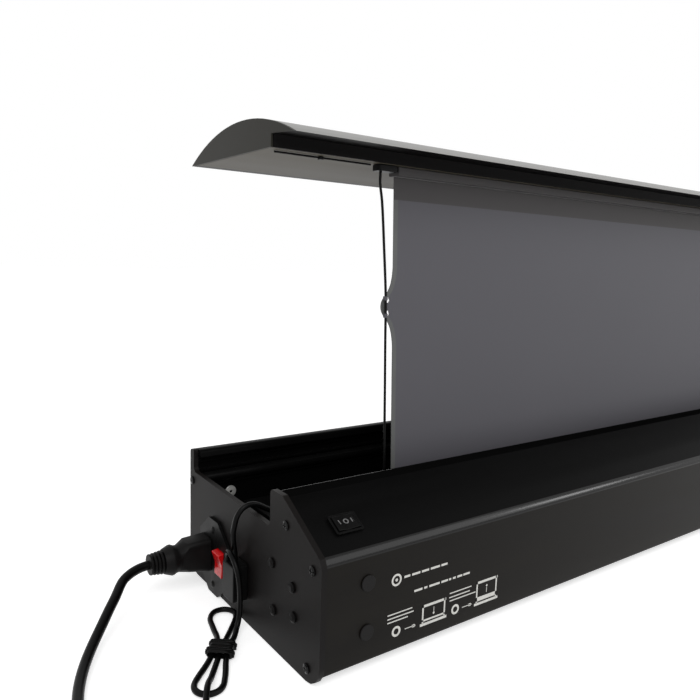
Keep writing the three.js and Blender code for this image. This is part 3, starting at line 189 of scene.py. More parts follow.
# What painted extrusions share, and what the fabric and its painted shadow band share
EXTRUDED = dict(stretch=(0.06, 1, 1), patch=60, grain=2600)
CLOTH = dict(
    stretch=(1, 1, 1.6), patch=2.2, grain=2400, grain_height=0.02, rough_spread=0.04, sheen=0.04,
    lines=(("X", 420), ("Z", 420)),
)
FINISHES = {
    "case_black": dict(
        colour=(8, 8, 8), second=(11, 11, 11), rough=0.34, **EXTRUDED,
        grain_height=0.012, rough_spread=0.05, specular=0.03,
    ),
    # Painted light: the front face painted lighter and warmer than the slope of the same extrusion
    "front_painted_lighter": dict(
        colour=(16, 14, 12), second=(20, 18, 15), rough=0.42, **EXTRUDED,
        grain_height=0.012, rough_spread=0.05, specular=0.08,
    ),
    "matt_black": dict(
        colour=(10, 10, 10), second=(13, 13, 13), rough=0.6, **EXTRUDED,
        grain_height=0.012, specular=0.0,
    ),
    # Glossier and painted a little lighter than the case black: a painted highlight on the ribs'
    # upper sides
    "rib_painted_highlight": dict(
        colour=(12, 12, 12), second=(15, 15, 15), rough=0.3, **EXTRUDED,
        grain_height=0.01, specular=0.1,
    ),
    # Glossier than the case, and painted a little lighter than the slope: a painted highlight along
    # the nose
    "nose_painted_highlight": dict(
        colour=(14, 14, 14), second=(18, 18, 18), rough=0.16, **EXTRUDED,
        grain_height=0.006, rough_spread=0.03, specular=0.2,
    ),
    "plate_black": dict(
        colour=(15, 13, 13), second=(20, 18, 17), rough=0.48, patch=18, grain=2200,
        grain_height=0.05, rough_spread=0.05, specular=0.08,
    ),
    "screw_black": dict(
        colour=(5, 5, 5), second=(8, 8, 8), rough=0.2, patch=300, grain=3000,
        grain_height=0.01, specular=0.14,
    ),
    "bracket_black": dict(
        colour=(9, 8, 8), second=(12, 11, 11), rough=0.4, patch=60, grain=2400,
        grain_height=0.03, specular=0.08,
    ),
    "aluminium": dict(
        colour=(186, 188, 190), second=(168, 170, 173), rough=0.36, metal=0.9,
        stretch=(0.03, 1, 1), patch=90, grain=2500, grain_height=0.01,
    ),
    "steel": dict(
        colour=(176, 177, 180), second=(150, 152, 156), rough=0.3, metal=0.95, patch=80, grain=1500,
        grain_height=0.02, rough_spread=0.1,
    ),
    "zinc": dict(
        colour=(178, 177, 174), second=(160, 160, 158), rough=0.4, metal=0.25, patch=200,
        grain=1500, grain_height=0.02,
    ),
    "screen_fabric": dict(
        colour=(75, 74, 79), second=(79, 78, 83), rough=0.62, specular=0.25, **CLOTH,
    ),
    # Darker cloth colour for the fabric's top rows: a painted shadow cast by the lid, also given to
    # the fabric rail
    "fabric_painted_shadow": dict(
        colour=(63, 61, 62), second=(67, 65, 65), rough=0.65, specular=0.2, **CLOTH,
    ),
    "fabric_hem": dict(
        colour=(86, 87, 86), second=(81, 82, 82), rough=0.6, patch=30, grain=2000,
        grain_height=0.02, specular=0.3,
    ),
    "plastic_black": dict(
        colour=(7, 7, 7), second=(11, 11, 11), rough=0.4, patch=90, grain=1600,
        grain_height=0.03, specular=0.1,
    ),
    "switch_black": dict(
        colour=(7, 7, 7), second=(11, 11, 11), rough=0.3, patch=120, grain=1800,
        grain_height=0.015, specular=0.08,
    ),
    "lid_black": dict(
        colour=(16, 15, 15), second=(20, 19, 19), rough=0.4, stretch=(0.05, 1, 1), patch=60,
        grain=2600, grain_height=0.012, rough_spread=0.05, specular=0.04,
    ),
    # The black lid's up-facing faces painted light grey: a painted reflection of the bright light
    # above
    "lid_top_painted_reflection": dict(
        colour=(113, 112, 109), second=(120, 119, 116), rough=0.38, stretch=(0.05, 1, 1), patch=60,
        grain=2600, grain_height=0.008, rough_spread=0.04, specular=0.4,
    ),
    "lid_grey": dict(
        colour=(27, 26, 20), second=(32, 30, 24), rough=0.5, patch=20, grain=2400,
        grain_height=0.04, rough_spread=0.06, specular=0.2,
    ),
    "panel_grey": dict(
        colour=(73, 68, 57), second=(80, 75, 63), rough=0.55, stretch=(0.1, 1, 1), patch=30,
        grain=2400, grain_height=0.03, specular=0.3,
    ),
    "cord_black": dict(
        colour=(5, 5, 5), second=(8, 8, 8), rough=0.36, patch=120, grain=1400,
        grain_height=0.03, specular=0.09,
    ),
    "rubber_black": dict(
        colour=(15, 14, 14), second=(20, 19, 19), rough=0.55, patch=100, grain=1300,
        grain_height=0.05, specular=0.12,
    ),
    "plug_rubber": dict(
        colour=(11, 10, 10), second=(16, 15, 15), rough=0.5, patch=140, grain=1100,
        grain_height=0.05, specular=0.1,
    ),
    "red": dict(
        colour=(190, 10, 16), second=(208, 18, 22), rough=0.24, patch=120, grain=900,
        grain_height=0.01, specular=0.3, coat=0.3,
    ),
    "print_white": dict(
        colour=(206, 205, 200), second=(190, 189, 184), rough=0.5, patch=400, grain=2600,
        grain_height=0.01,
    ),
    "print_grey": dict(
        colour=(104, 104, 104), second=(92, 92, 92), rough=0.5, patch=400, grain=2600,
        grain_height=0.01,
    ),
}
MATERIALS = {name: surface(name, **finish) for name, finish in FINISHES.items()}


# Making pieces
MERGE_GAP = 0.02
FLAT_ANGLE = 0.6
EDGE_ANGLE = 35
SHEET_ANGLE = 50


def linked(name, mesh, material):
    """A new object with its mesh, material and record slot."""
    made = bpy.data.objects.new(name, mesh)
    scene.collection.objects.link(made)
    made.data.materials.clear()
    made.data.materials.append(MATERIALS[material])
    return made


def softened(made, width, angle=EDGE_ANGLE):
    """Small round edges where two flat sides meet."""
    for face in made.data.polygons:
        face.use_smooth = True
    made.data.set_sharp_from_angle(angle=math.radians(angle))
    bevel = made.modifiers.new("edges", "BEVEL")
    bevel.width = width * MM
    bevel.segments = 2
    bevel.limit_method = "ANGLE"
    bevel.angle_limit = math.radians(angle)
    bevel.harden_normals = True
    return made


def body_of_node(node):
    """The body that a node of the solids rides on."""
    return frame["nodes"][node]["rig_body"]


def dressed(node, material, width=0.3, angle=EDGE_ANGLE, reshape=None):
    """A node's own shape with merged flat faces and small round edges, in the node's place."""
    mesh = frame["nodes"][node].data.copy()
    form = bmesh.new()
    form.from_mesh(mesh)
    bmesh.ops.remove_doubles(form, verts=form.verts, dist=MERGE_GAP * MM)
    bmesh.ops.dissolve_limit(
        form, angle_limit=math.radians(FLAT_ANGLE), verts=form.verts, edges=form.edges,
    )
    if reshape:
        reshape(form)
    form.to_mesh(mesh)
    form.free()
    made = linked(node + "_piece", mesh, material)
    softened(made, width, angle)
    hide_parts(node)
    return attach(made, body_of_node(node))


def finish_faces(made, material, chosen):
    """Gives one more material to the faces chosen by their normal and centre."""
    made.data.materials.append(MATERIALS[material])
    index = len(made.data.materials) - 1
    for face in made.data.polygons:
        if chosen(face.normal, face.center):
            face.material_index = index
    return made


def mesh_piece(name, points, faces, material, body, smooth=False):
    """A piece from points and faces, riding on a body if one is named."""
    mesh = bpy.data.meshes.new(name)
    mesh.from_pydata([tuple(point) for point in points], [], faces)
    mesh.validate()
    mesh.update()
    made = linked(name, mesh, material)
    if smooth:
        for face in mesh.polygons:
            face.use_smooth = True
    if body:
        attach(made, body)
    return made


# Lines through points, as the solids have them
NEAREST = 1e-4


def centripetal(points, steps):
    """A smooth line through the points, the same curve as the solids'."""
    out = []
    count = len(points)
    for i in range(count - 1):
        second, third = points[i], points[i + 1]
        first = points[i - 1] if i > 0 else second * 2 - third
        fourth = points[i + 2] if i + 2 < count else third * 2 - second
        gap0 = max((second - first).length ** 0.5, NEAREST)
        gap1 = max((third - second).length ** 0.5, NEAREST)
        gap2 = max((fourth - third).length ** 0.5, NEAREST)
        level = (third - second) / gap1
        leave = (second - first) / gap0 - (third - first) / (gap0 + gap1) + level
        reach = level - (fourth - second) / (gap1 + gap2) + (fourth - third) / gap2
        leave, reach = leave * gap1, reach * gap1
        for k in range(steps):
            t = k / steps
            out.append(
                second * (2 * t**3 - 3 * t**2 + 1)
                + leave * (t**3 - 2 * t**2 + t)
                + third * (3 * t**2 - 2 * t**3)
                + reach * (t**3 - t**2)
            )
    out.append(points[-1].copy())
    return out


def strand(name, points, diameter, material, sides=3):
    """A round cord along the points, closed at both ends."""
    line = bpy.data.curves.new(name, "CURVE")
    line.dimensions = "3D"
    line.bevel_depth = diameter * MM / 2
    line.bevel_resolution = sides
    line.use_fill_caps = True
    spline = line.splines.new("POLY")
    spline.points.add(len(points) - 1)
    for spot, point in zip(spline.points, points):
        spot.co = (*point, 1)
    spline.use_smooth = True
    return linked(name, line, material)


# Mains lead: the free stretch and the coil on one line
MAINS_DIAMETER = 7
LEAD_DIAMETER = 4
LEAD_LIFT = 0.1
COIL_PLACE = (-178, SOCKET_DEPTH - 161)
COIL_INNER = 29.5
COIL_PITCH = 7.5
COIL_TURNS = 6.25
COIL_STEPS = 24
COIL_APPROACH = (16, 8)
COIL_END_RUN = 31
COIL_OUTER = COIL_INNER + COIL_PITCH * COIL_TURNS / 2
RELIEF_TIP = -49.1
MAINS_ROUTE = [
    (RELIEF_TIP - 0.3, 0, 30), (-52, -0.18, 29.93), (-56.8, -1.02, 29.58), (-62.2, -2.84, 28.83),
    (-67.2, -5.5, 27.74), (-71.6, -8.92, 26.33), (-80.4, -20.8, 21.6), (-86.8, -28.6, 18.1),
    (-93.4, -37.2, 14.4), (-99.9, -45.6, 10.8), (-106.3, -54.8, 7.8), (-112.2, -65, 5.6),
    (-117.4, -76.4, 4.3), (-121.8, -88.8, 3.7), (-125, -102, 3.6), (-126.2, -116, 3.6),
    (-125.8, -130, 3.6),
]
cord_lift = MAINS_DIAMETER / 2 + LEAD_LIFT
mains_line = [place(x, SOCKET_DEPTH + y, z) for x, y, z in MAINS_ROUTE]
for before in COIL_APPROACH:
    mains_line.append(place(COIL_PLACE[0] + COIL_OUTER, COIL_PLACE[1] + before, cord_lift))
coil_steps = round(COIL_TURNS * COIL_STEPS)
for i in range(coil_steps + 1):
    turns = i / coil_steps * COIL_TURNS
    radius = COIL_INNER + COIL_PITCH * abs(turns - COIL_TURNS / 2)
    climb = min(max((turns - COIL_TURNS / 2) / 0.5 + 0.5, 0), 1)
    angle = -2 * math.pi * turns
    mains_line.append(place(
        COIL_PLACE[0] + radius * math.cos(angle),
        COIL_PLACE[1] + radius * math.sin(angle),
        cord_lift + COIL_PITCH * climb,
    ))
mains_line.append(mains_line[-1] + Vector((-COIL_END_RUN * MM, 0, 0)))
mains_points = centripetal(mains_line, 3)

# Mains connector: its body narrows towards the collar, and the relief's ribs stand out.
# Each row gives a stretch of the connector, from near to far, and its scales across, up and down
CONNECTOR_MIDDLE = (62.5, 30)
CONNECTOR_SHAPE = (
    (-39.5, -60, 1.2, 1.2, 1.2),
    (-30.5, -34, 0.95, 0.95, 0.95),
    (-26.5, -30, 1.08, 1.08, 1.08),
    (-19, -26.5, 0.95, 0.94, 0.76),
)
RIB_FOOT = 6.2


def narrow_connector(form):
    """The connector's rings made wider or narrower, each by its place along the lead."""
    for vert in form.verts:
        along = vert.co.x / MM + HALF_LENGTH
        across = vert.co.y / MM - CONNECTOR_MIDDLE[0]
        up = vert.co.z / MM - CONNECTOR_MIDDLE[1]
        for near, far, wide, high, low in CONNECTOR_SHAPE:
            if far < along < near and math.hypot(across, up) > RIB_FOOT:
                vert.co.y = (CONNECTOR_MIDDLE[0] + across * wide) * MM
                vert.co.z = (CONNECTOR_MIDDLE[1] + up * (high if up > 0 else low)) * MM


mains_connector = dressed(
    "mains_connector", "plug_rubber", 0.5, reshape=narrow_connector,
)
mains_plug = dressed("mains_plug", "plug_rubber", 0.5)
mains_lead = strand("mains_lead", mains_points, MAINS_DIAMETER, "cord_black", 4)
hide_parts("mains_cord", "mains_coil")
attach(mains_lead, "case")

# Jack lead: out of the control box, over the notch and down into the jack block
JACK_ROUTE = [
    (46, -8, 58.3), (46, -8, 62.5), (43.5, -8.2, 70), (37, -8.6, 75.5), (29, -8.8, 78),
    (20, -8.8, 80.6), (12.6, -8.8, 84.6), (5.6, -8.8, 88.4), (-0.6, -8.7, 89.1),
    (-5.6, -8.2, 86.6), (-8.6, -7.1, 81.6), (-9.6, -5.5, 75), (-9.5, -3.2, 67.5),
    (-8, -1.2, 58.5), (-6.4, 0, 50.5), (-6.4, 0, 45.3),
]
jack_points = centripetal([place(x, JACK_DEPTH + y, z) for x, y, z in JACK_ROUTE], 6)
jack_lead = strand("jack_cable", jack_points, LEAD_DIAMETER, "cord_black")
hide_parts("jack_lead")
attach(jack_lead, "case")

# Receiver lead with its tied bow
TIE_WALL = 1.2
TIE_GAP = 0.3
TIE_LIFT = LEAD_DIAMETER / 2 + LEAD_LIFT + TIE_WALL + TIE_GAP
RECEIVER_ROUTE = [
    (-9.8, 5.2, 45.4), (-10, 4.9, 48.4), (-10.8, 2.9, 52), (-11.8, -1, 54.4),
    (-12.6, -5.8, 54.7), (-12.8, -10.8, 52.6), (-12.5, -15, 48.4), (-12.1, -17.8, 42.4),
    (-11.8, -19, 35.5), (-11.5, -19, 28.5), (-11.2, -18.3, 22), (-11, -17.5, 16.2),
    (-11.8, -17.7, 10.8), (-14.3, -20, 6.6), (-18.5, -25.1, 4.2), (-24.1, -30.9, TIE_LIFT),
    (-30.3, -38.8, TIE_LIFT), (-34.8, -46.6, 2.6), (-38.4, -54, 2.2), (-42.2, -61.2, 2.2),
    (-46.6, -67.9, 2.2), (-51.2, -70.9, 2.2), (-56.7, -70.8, 2.2), (-60.9, -67.5, 2.2),
    (-62.4, -62.2, 2.2), (-60.6, -57, 2.2), (-55.3, -51, 2.2), (-49.4, -45.4, 2.2),
    (-43.6, -39.8, 2.6), (-37.5, -33.1, TIE_LIFT), (-31.3, -25.2, TIE_LIFT), (-27.5, -16.8, 2.6),
    (-25.6, -8.1, 2.2), (-23.8, 0, 2.2), (-22.1, 6.9, 2.2), (-18.6, 12.8, 2.2),
    (-14, 16.1, 2.2), (-8.5, 15.8, 2.2), (-4.2, 12.3, 2.2), (-2.8, 6.9, 2.2), (-4.6, 1.6, 2.2),
    (-9.5, -5.5, 2.2), (-15.8, -13.3, 2.2), (-22.1, -21, 2.6), (-27.7, -28.1, TIE_LIFT),
    (-33.9, -35.9, TIE_LIFT), (-39.3, -43.1, 2.8), (-45.3, -51.1, 2.4), (-49.9, -57.6, 2.9),
    (-53.9, -63.5, 5), (-57.5, -69.5, 6.8), (-60.9, -75.7, 5), (-64.1, -82.8, 2.9),
    (-67.1, -91.2, 2.2), (-69.2, -99.7, 2.2), (-72.9, -106.5, 2.2), (-74.8, -112, 2.2),
    (-75.2, -116, 2.2),
]
receiver_points = centripetal([place(x, JACK_DEPTH + y, z) for x, y, z in RECEIVER_ROUTE], 6)
receiver_eye = dressed("receiver_eye", "plastic_black", 0.8)
TIE_PLACE = (-30.8, JACK_DEPTH - 32, TIE_LIFT)
TIE_TURN = math.radians(52)
TIE_CORD = 1.3
TIE_WRAPS = 12
TIE_STEPS = 28
TIE_START = -9.5
TIE_SPAN = 15.5
TIE_SLANT = 1.5
TIE_HALF_WIDTH = 7.5
TIE_HALF_HEIGHT = 2.82
TIE_CROWN = 0.7
# Place along the tie, height and spread of each bulge, on its right and on its left
RIGHT_BULGES = ((3.4, 1.7, 1.3), (-5.4, 2, 1.3))
LEFT_BULGES = ((2.4, 1.7, 1.0), (-6.6, 2.1, 1.5))


def tie_bulge(along, side):
    """How far the wraps stand out from the bundle, as pulled by the knot."""
    bulges = RIGHT_BULGES if side > 0 else LEFT_BULGES
    return sum(size * math.exp(-(((along - at) / spread) ** 2)) for at, size, spread in bulges)


def tie_points():
    """The thin cord of the tie, wound round the bow's strands."""
    points = []
    for i in range(TIE_WRAPS * TIE_STEPS + 1):
        angle = 2 * math.pi * i / TIE_STEPS
        along = TIE_START + TIE_SPAN * i / (TIE_WRAPS * TIE_STEPS) - TIE_SLANT * math.sin(angle)
        side = math.copysign(abs(math.cos(angle)) ** 0.4, math.cos(angle))
        up = math.copysign(abs(math.sin(angle)) ** 0.5, math.sin(angle))
        across = side * (TIE_HALF_WIDTH + tie_bulge(along, side) * abs(side))
        crown = TIE_CROWN * max(up, 0) * math.sin(0.7 * along - 0.9) ** 2
        points.append(place(
            TIE_PLACE[0] + along * math.cos(TIE_TURN) - across * math.sin(TIE_TURN),
            TIE_PLACE[1] + along * math.sin(TIE_TURN) + across * math.cos(TIE_TURN),
            TIE_PLACE[2] + TIE_HALF_HEIGHT * up + crown,
        ))
    return points


receiver_tie = strand("receiver_tie_wraps", tie_points(), TIE_CORD, "cord_black")
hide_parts("receiver_tie")
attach(receiver_tie, "case")
receiver_cable = strand(
    "receiver_cable", receiver_points, LEAD_DIAMETER, "cord_black",
)
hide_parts("receiver_lead")
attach(receiver_cable, "case")

# Tension cord places, and the small pockets of cloth that hold it to each tab
TENSION_DIAMETER = 2
CORD_OFFSET = 1.7
CORD_FRONT = FABRIC_DEPTH - CORD_OFFSET
CORD_PLACES = [
    (95.3, 326.2), (95.3, 318.2), (97.7, 305), (101.3, 270), (104, 241), (104.7, 228),
    (105.5, 203), (107.2, 157), (109, 101), (110, 52), (110, 44),
]


def cord_inset(z):
    """How far the tension cord is from the case's end at a height."""
    for (near, high), (far, low) in zip(CORD_PLACES, CORD_PLACES[1:]):
        if low <= z <= high:
            return far + (near - far) * (z - low) / (high - low)
    return CORD_PLACES[-1][0]


# A pocket's outline round the cord, from above: (across, back) from the cord's middle
POCKET_STEPS = 8
POCKET_RINGS = 4
POCKET_RADIUS = 1.55
POCKET_CLOTH = 0.25
POCKET_SEAMS = ((-1.75, 1.1), (1.6, 1.1))
POCKET_BOW = [
    (
        -POCKET_RADIUS * math.cos(math.pi * k / POCKET_STEPS),
        -POCKET_RADIUS * math.sin(math.pi * k / POCKET_STEPS) - 0.1,
    )
    for k in range(POCKET_STEPS + 1)
]
POCKET_LINE = [POCKET_SEAMS[0], *POCKET_BOW, POCKET_SEAMS[1]]


def pocket(side, low, high, points, faces):
    """A narrow loop of the tab's cloth sewn down over the cord, as a thin shell of its own."""
    first = len(points)
    rings = POCKET_RINGS
    line = POCKET_LINE
    inner = []
    for k, (x, y) in enumerate(line):
        before, after = line[max(k - 1, 0)], line[min(k + 1, len(line) - 1)]
        along = Vector((after[0] - before[0], after[1] - before[1])).normalized()
        inner.append((x - along.y * POCKET_CLOTH, y + along.x * POCKET_CLOTH))
    for r in range(rings):
        z = low + (high - low) * r / (rings - 1)
        for x, y in line + inner:
            at = side * (HALF_LENGTH - cord_inset(z) + x)
            points.append(Vector((at * MM, (CORD_FRONT - HALF_DEPTH + y) * MM, z * MM)))
    count = len(line)
    for r in range(rings - 1):
        for k in range(count - 1):
            a = first + r * 2 * count + k
            d = a + 2 * count
            faces.append((a, a + 1, d + 1, d))
            faces.append((a + count, d + count, d + count + 1, a + count + 1))
        for k in (0, count - 1):
            a = first + r * 2 * count + k
            d = a + 2 * count
            end = (a, d, d + count, a + count)
            faces.append(end if k == 0 else tuple(reversed(end)))
    for r in (0, rings - 1):
        for k in range(count - 1):
            a = first + r * 2 * count + k
            end = (a, a + count, a + count + 1, a + 1)
            faces.append(end if r == 0 else tuple(reversed(end)))


# Screen fabric: one stretched sheet with a tab at each side, and two small holes in each.
# A tab's outline is (height from its middle, reach beyond the fabric's edge)
TAB_LENGTH = 60
TAB_SHAPE = (
    (0, 11.5), (2.5, 11.2), (4.5, 10.4), (6.6, 9), (8.4, 7.2), (10, 5.8), (12, 4.5), (13.8, 3.5),
    (16, 2.5), (18.5, 1.7), (21, 1.1), (24, 0.6), (27, 0.2), (30, 0),
)
SHEET_HALF_THICKNESS = 0.25
INNER_HALF = 780
HEM_WIDTH = 4
SHADOW_BAND_FOOT = 307
EDGE_COLUMNS = 26
HOLE_PLACE = (4.7, 5)
HOLE_HALF = (1.3, 2.1)
POCKET_REACH = (5, 8)
LOW_ROWS = 22
LOW_ROW_HEIGHT = 7
HIGH_ROWS = 8
HEM_COLUMNS = 3
COLUMN_WIDTH = 60
SWAY = 0.35


def fabric_edge(z):
    """Half the fabric's width at a height: the edges lean inward toward the roller."""
    return FABRIC_HALF - FABRIC_LEAN * (FABRIC_TOP - z) / (FABRIC_TOP - ROLLER_HEIGHT)


def tab_swell(z):
    """How far the fabric's edge stands out at a height, for its tab."""
    away = abs(z - TAB_HEIGHT)
    for (near, wide), (far, narrow) in zip(TAB_SHAPE, TAB_SHAPE[1:]):
        if away <= far:
            return wide + (narrow - wide) * (away - near) / (far - near)
    return 0


def sheet_rows():
    """The heights of the sheet's rows, a millimetre apart along the tabs."""
    rows = [ROLLER_HEIGHT + i * LOW_ROW_HEIGHT for i in range(LOW_ROWS)]
    low = TAB_HEIGHT - TAB_LENGTH / 2
    rows += [low + i for i in range(TAB_LENGTH + 1)]
    low = rows[-1]
    rows += [low + (FABRIC_TOP - low) * (i + 1) / HIGH_ROWS for i in range(HIGH_ROWS)]
    return rows


def sheet_columns(z):
    """The places of the sheet's columns at a height, closest together in the tabs."""
    hem = fabric_edge(z) - HEM_WIDTH
    edge = fabric_edge(z) + tab_swell(z)
    step = (hem - INNER_HALF) / HEM_COLUMNS
    outer = [INNER_HALF + step * i for i in range(1, HEM_COLUMNS + 1)]
    outer += [hem + (edge - hem) * i / EDGE_COLUMNS for i in range(1, EDGE_COLUMNS + 1)]
    inner = range(-INNER_HALF, INNER_HALF + 1, COLUMN_WIDTH)
    return [*(-x for x in reversed(outer)), *inner, *outer]


def punched(x, z):
    """Whether a spot on the sheet is inside one of a tab's two small holes."""
    across = abs(x) - fabric_edge(z) - HOLE_PLACE[0]
    up = abs(z - TAB_HEIGHT) - HOLE_PLACE[1]
    return (across / HOLE_HALF[0]) ** 2 + (up / HOLE_HALF[1]) ** 2 < 1


def in_hem(x, z):
    """Whether a spot is in the hem along the fabric's edge."""
    return abs(x) > fabric_edge(z) + tab_swell(z) - HEM_WIDTH


def cloth_sway(x, z):
    """The cloth bows a hair between its ends, more in the middle of its height."""
    high = (z - ROLLER_HEIGHT) / (FABRIC_TOP - ROLLER_HEIGHT)
    return SWAY * math.sin(math.pi * high) * math.sin(x / 95) * math.cos(x / 310)


def screen_sheet():
    """The risen fabric with its hems, a painted shadow band along the top under the lid, tabs,
    holes and pockets.
    """
    heights = sheet_rows()
    widths = [sheet_columns(z) for z in heights]
    count = len(widths[0])
    rows = len(heights)
    points = []
    for side in (-SHEET_HALF_THICKNESS, SHEET_HALF_THICKNESS):
        for z, line in zip(heights, widths):
            for x in line:
                depth = FABRIC_DEPTH - HALF_DEPTH + side + cloth_sway(x, z)
                points.append(Vector((x * MM, depth * MM, z * MM)))
    back = rows * count
    faces = []
    hems = set()
    solid = {}
    for r in range(rows - 1):
        for c in range(count - 1):
            x = (widths[r][c] + widths[r + 1][c + 1]) / 2
            z = (heights[r] + heights[r + 1]) / 2
            solid[r, c] = not punched(x, z)
            if in_hem(x, z):
                hems.add((r, c))
    finish = []
    for (r, c), kept in solid.items():
        if not kept:
            continue
        a, b = r * count + c, r * count + c + 1
        d, e = a + count, b + count
        made = [(a, b, e, d), (back + a, back + d, back + e, back + b)]
        if not solid.get((r, c - 1)):
            made.append((a, d, back + d, back + a))
        if not solid.get((r, c + 1)):
            made.append((b, back + b, back + e, e))
        if not solid.get((r - 1, c)):
            made.append((a, back + a, back + b, b))
        if not solid.get((r + 1, c)):
            made.append((d, e, back + e, back + d))
        faces += made
        # Rows above the band's foot take the darker colour: a painted shadow under the lid
        shadow_band = 2 if heights[r] > SHADOW_BAND_FOOT else 0
        finish += [1 if (r, c) in hems and not shadow_band else shadow_band] * len(made)
    for side in (-1, 1):
        for low, high in (POCKET_REACH, (-POCKET_REACH[1], -POCKET_REACH[0])):
            count_before = len(faces)
            pocket(side, TAB_HEIGHT + low, TAB_HEIGHT + high, points, faces)
            finish += [0] * (len(faces) - count_before)
    made = mesh_piece("screen_sheet", points, faces, "screen_fabric", None, True)
    made.data.materials.append(MATERIALS["fabric_hem"])
    made.data.materials.append(MATERIALS["fabric_painted_shadow"])
    for face, index in zip(made.data.polygons, finish):
        face.material_index = index
    form = bmesh.new()
    form.from_mesh(made.data)
    loose = [vert for vert in form.verts if not vert.link_faces]
    bmesh.ops.delete(form, geom=loose, context="VERTS")
    bmesh.ops.recalc_face_normals(form, faces=form.faces)
    form.to_mesh(made.data)
    form.free()
    made.data.set_sharp_from_angle(angle=math.radians(SHEET_ANGLE))
    return made


sheet = screen_sheet()
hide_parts("screen_fabric")
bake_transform(sheet)

# Fabric wound on the roller: a spiral of one thin sheet
WOUND_START = 31.3
WOUND_TURNS = 5.5
WOUND_PITCH = 0.38
WOUND_SIDES = 64
WOUND_HALF = FABRIC_HALF - FABRIC_LEAN
WOUND_HALF_THICKNESS = 0.13


def wound_roll():
    """The wound sheet as a spiral, and the length of fabric in it."""
    steps = round(WOUND_TURNS * WOUND_SIDES)
    half = WOUND_HALF_THICKNESS
    points = []
    for i in range(steps + 1):
        angle = 2 * math.pi * i / WOUND_SIDES
        middle = WOUND_START + half + WOUND_PITCH * i / WOUND_SIDES
        for radius in (middle - half, middle + half):
            y = (ROLLER_DEPTH - HALF_DEPTH + radius * math.cos(angle)) * MM
            z = (ROLLER_HEIGHT + radius * math.sin(angle)) * MM
            points.append(Vector((-WOUND_HALF * MM, y, z)))
            points.append(Vector((WOUND_HALF * MM, y, z)))
    faces = [(0, 1, 3, 2)]
    for i in range(steps):
        a = 4 * i
        faces += [
            (a, a + 4, a + 5, a + 1), (a + 2, a + 3, a + 7, a + 6),
            (a, a + 2, a + 6, a + 4), (a + 1, a + 5, a + 7, a + 3),
        ]
    a = 4 * steps
    faces.append((a, a + 2, a + 3, a + 1))
    made = mesh_piece(
        "wound_roll", points, faces, "screen_fabric", "roller", True,
    )
    made.data.set_sharp_from_angle(angle=math.radians(SHEET_ANGLE))
    length = sum(
        2 * math.pi * (WOUND_START + half + WOUND_PITCH * (i + 0.5) / WOUND_SIDES) / WOUND_SIDES
        for i in range(steps)
    )
    return made, length * MM


roll, roll_length = wound_roll()
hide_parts("wound_fabric")

# Tension cords: from the clip under the lid, through the tab's pockets, down beside the fabric
TENSION_SIDES = 10


def tension_cord(side, name, node):
    """One tension cord as a mesh tube."""
    line = [
        Vector((side * (HALF_LENGTH - inset) * MM, (CORD_FRONT - HALF_DEPTH) * MM, z * MM))
        for inset, z in CORD_PLACES
    ]
    points = centripetal(line, 4)
    sides = TENSION_SIDES
    radius = TENSION_DIAMETER / 2 * MM
    spots = []
    for point in points:
        for k in range(sides):
            angle = 2 * math.pi * k / sides
            spots.append(point + Vector((math.cos(angle), math.sin(angle), 0)) * radius)
    rings = len(points)
    faces = [tuple(range(sides))]
    for r in range(rings - 1):
        for k in range(sides):
            a = r * sides + k
            b = r * sides + (k + 1) % sides
            faces.append((a, a + sides, b + sides, b))
    faces.append(tuple(reversed(range((rings - 1) * sides, rings * sides))))
    made = mesh_piece(name, spots, faces, "cord_black", None, True)
    made.data.set_sharp_from_angle(angle=math.radians(SHEET_ANGLE))
    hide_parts(node)
    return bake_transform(made)


tension_cord(-1, "left_edge_cord", "left_tension_cord")
tension_cord(1, "right_edge_cord", "right_tension_cord")

# Anchor lines under the lid: from each cord clip to the lid's end, held by a small eye
LID_UNDERSIDE = 331
ANCHOR_GAP = 0.3
ANCHOR_DIAMETER = 1.4
ANCHOR_HEIGHT = LID_UNDERSIDE - ANCHOR_GAP - ANCHOR_DIAMETER / 2
ANCHOR_START = 8
ANCHOR_STEP = 7.8
ANCHOR_POINTS = 11
ANCHOR_EYE = 43.6


def anchor_line(side, name):
    """The thin line under one end of the lid, and the eye that holds it."""
    depth = (CORD_FRONT - HALF_DEPTH) * MM
    points = [
        Vector((
            side * (HALF_LENGTH - (ANCHOR_START + ANCHOR_STEP * k)) * MM,
            depth,
            ANCHOR_HEIGHT * MM,
        ))
        for k in range(ANCHOR_POINTS)
    ]
    line = strand(f"{name}_anchor_line", points, ANCHOR_DIAMETER, "cord_black")
    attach(line, "lid")
    corners = [
        Vector((
            (side * (HALF_LENGTH - ANCHOR_EYE) + across) * MM,
            depth + deep * MM,
            (ANCHOR_HEIGHT + up) * MM,
        ))
        for across in (-1.6, 1.6) for deep in (-1.7, 1.7) for up in (-1.3, 0.95)
    ]
    faces = [(0, 1, 3, 2), (4, 6, 7, 5), (0, 4, 5, 1), (2, 3, 7, 6), (0, 2, 6, 4), (1, 5, 7, 3)]
    eye = mesh_piece(
        f"{name}_anchor_eye", corners, faces, "plastic_black", None,
    )
    softened(eye, 0.4)
    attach(eye, "lid")


anchor_line(-1, "left")
anchor_line(1, "right")

# Case, lid and arms: the solids' shapes with small round edges
NOSE_RADIUS = 10
NOSE_CENTRE = (FRONT_FACE + NOSE_RADIUS, 76.3)
NOSE_SHELL = 0.9
NOSE_LIMIT = 59
NOSE_CUTS = 5
FRONTWARD = -0.985
SLOPEWARD = -0.52


def on_nose(vert):
    """Whether a vertex is on the outside of the nose, and its place around the nose's centre."""
    y = vert.co.y / MM + HALF_DEPTH - NOSE_CENTRE[0]
    z = vert.co.z / MM - NOSE_CENTRE[1]
    outside = abs(math.hypot(y, z) - NOSE_RADIUS) < NOSE_SHELL
    return outside and z > 0 and math.degrees(math.atan2(z, -y)) < NOSE_LIMIT, y, z


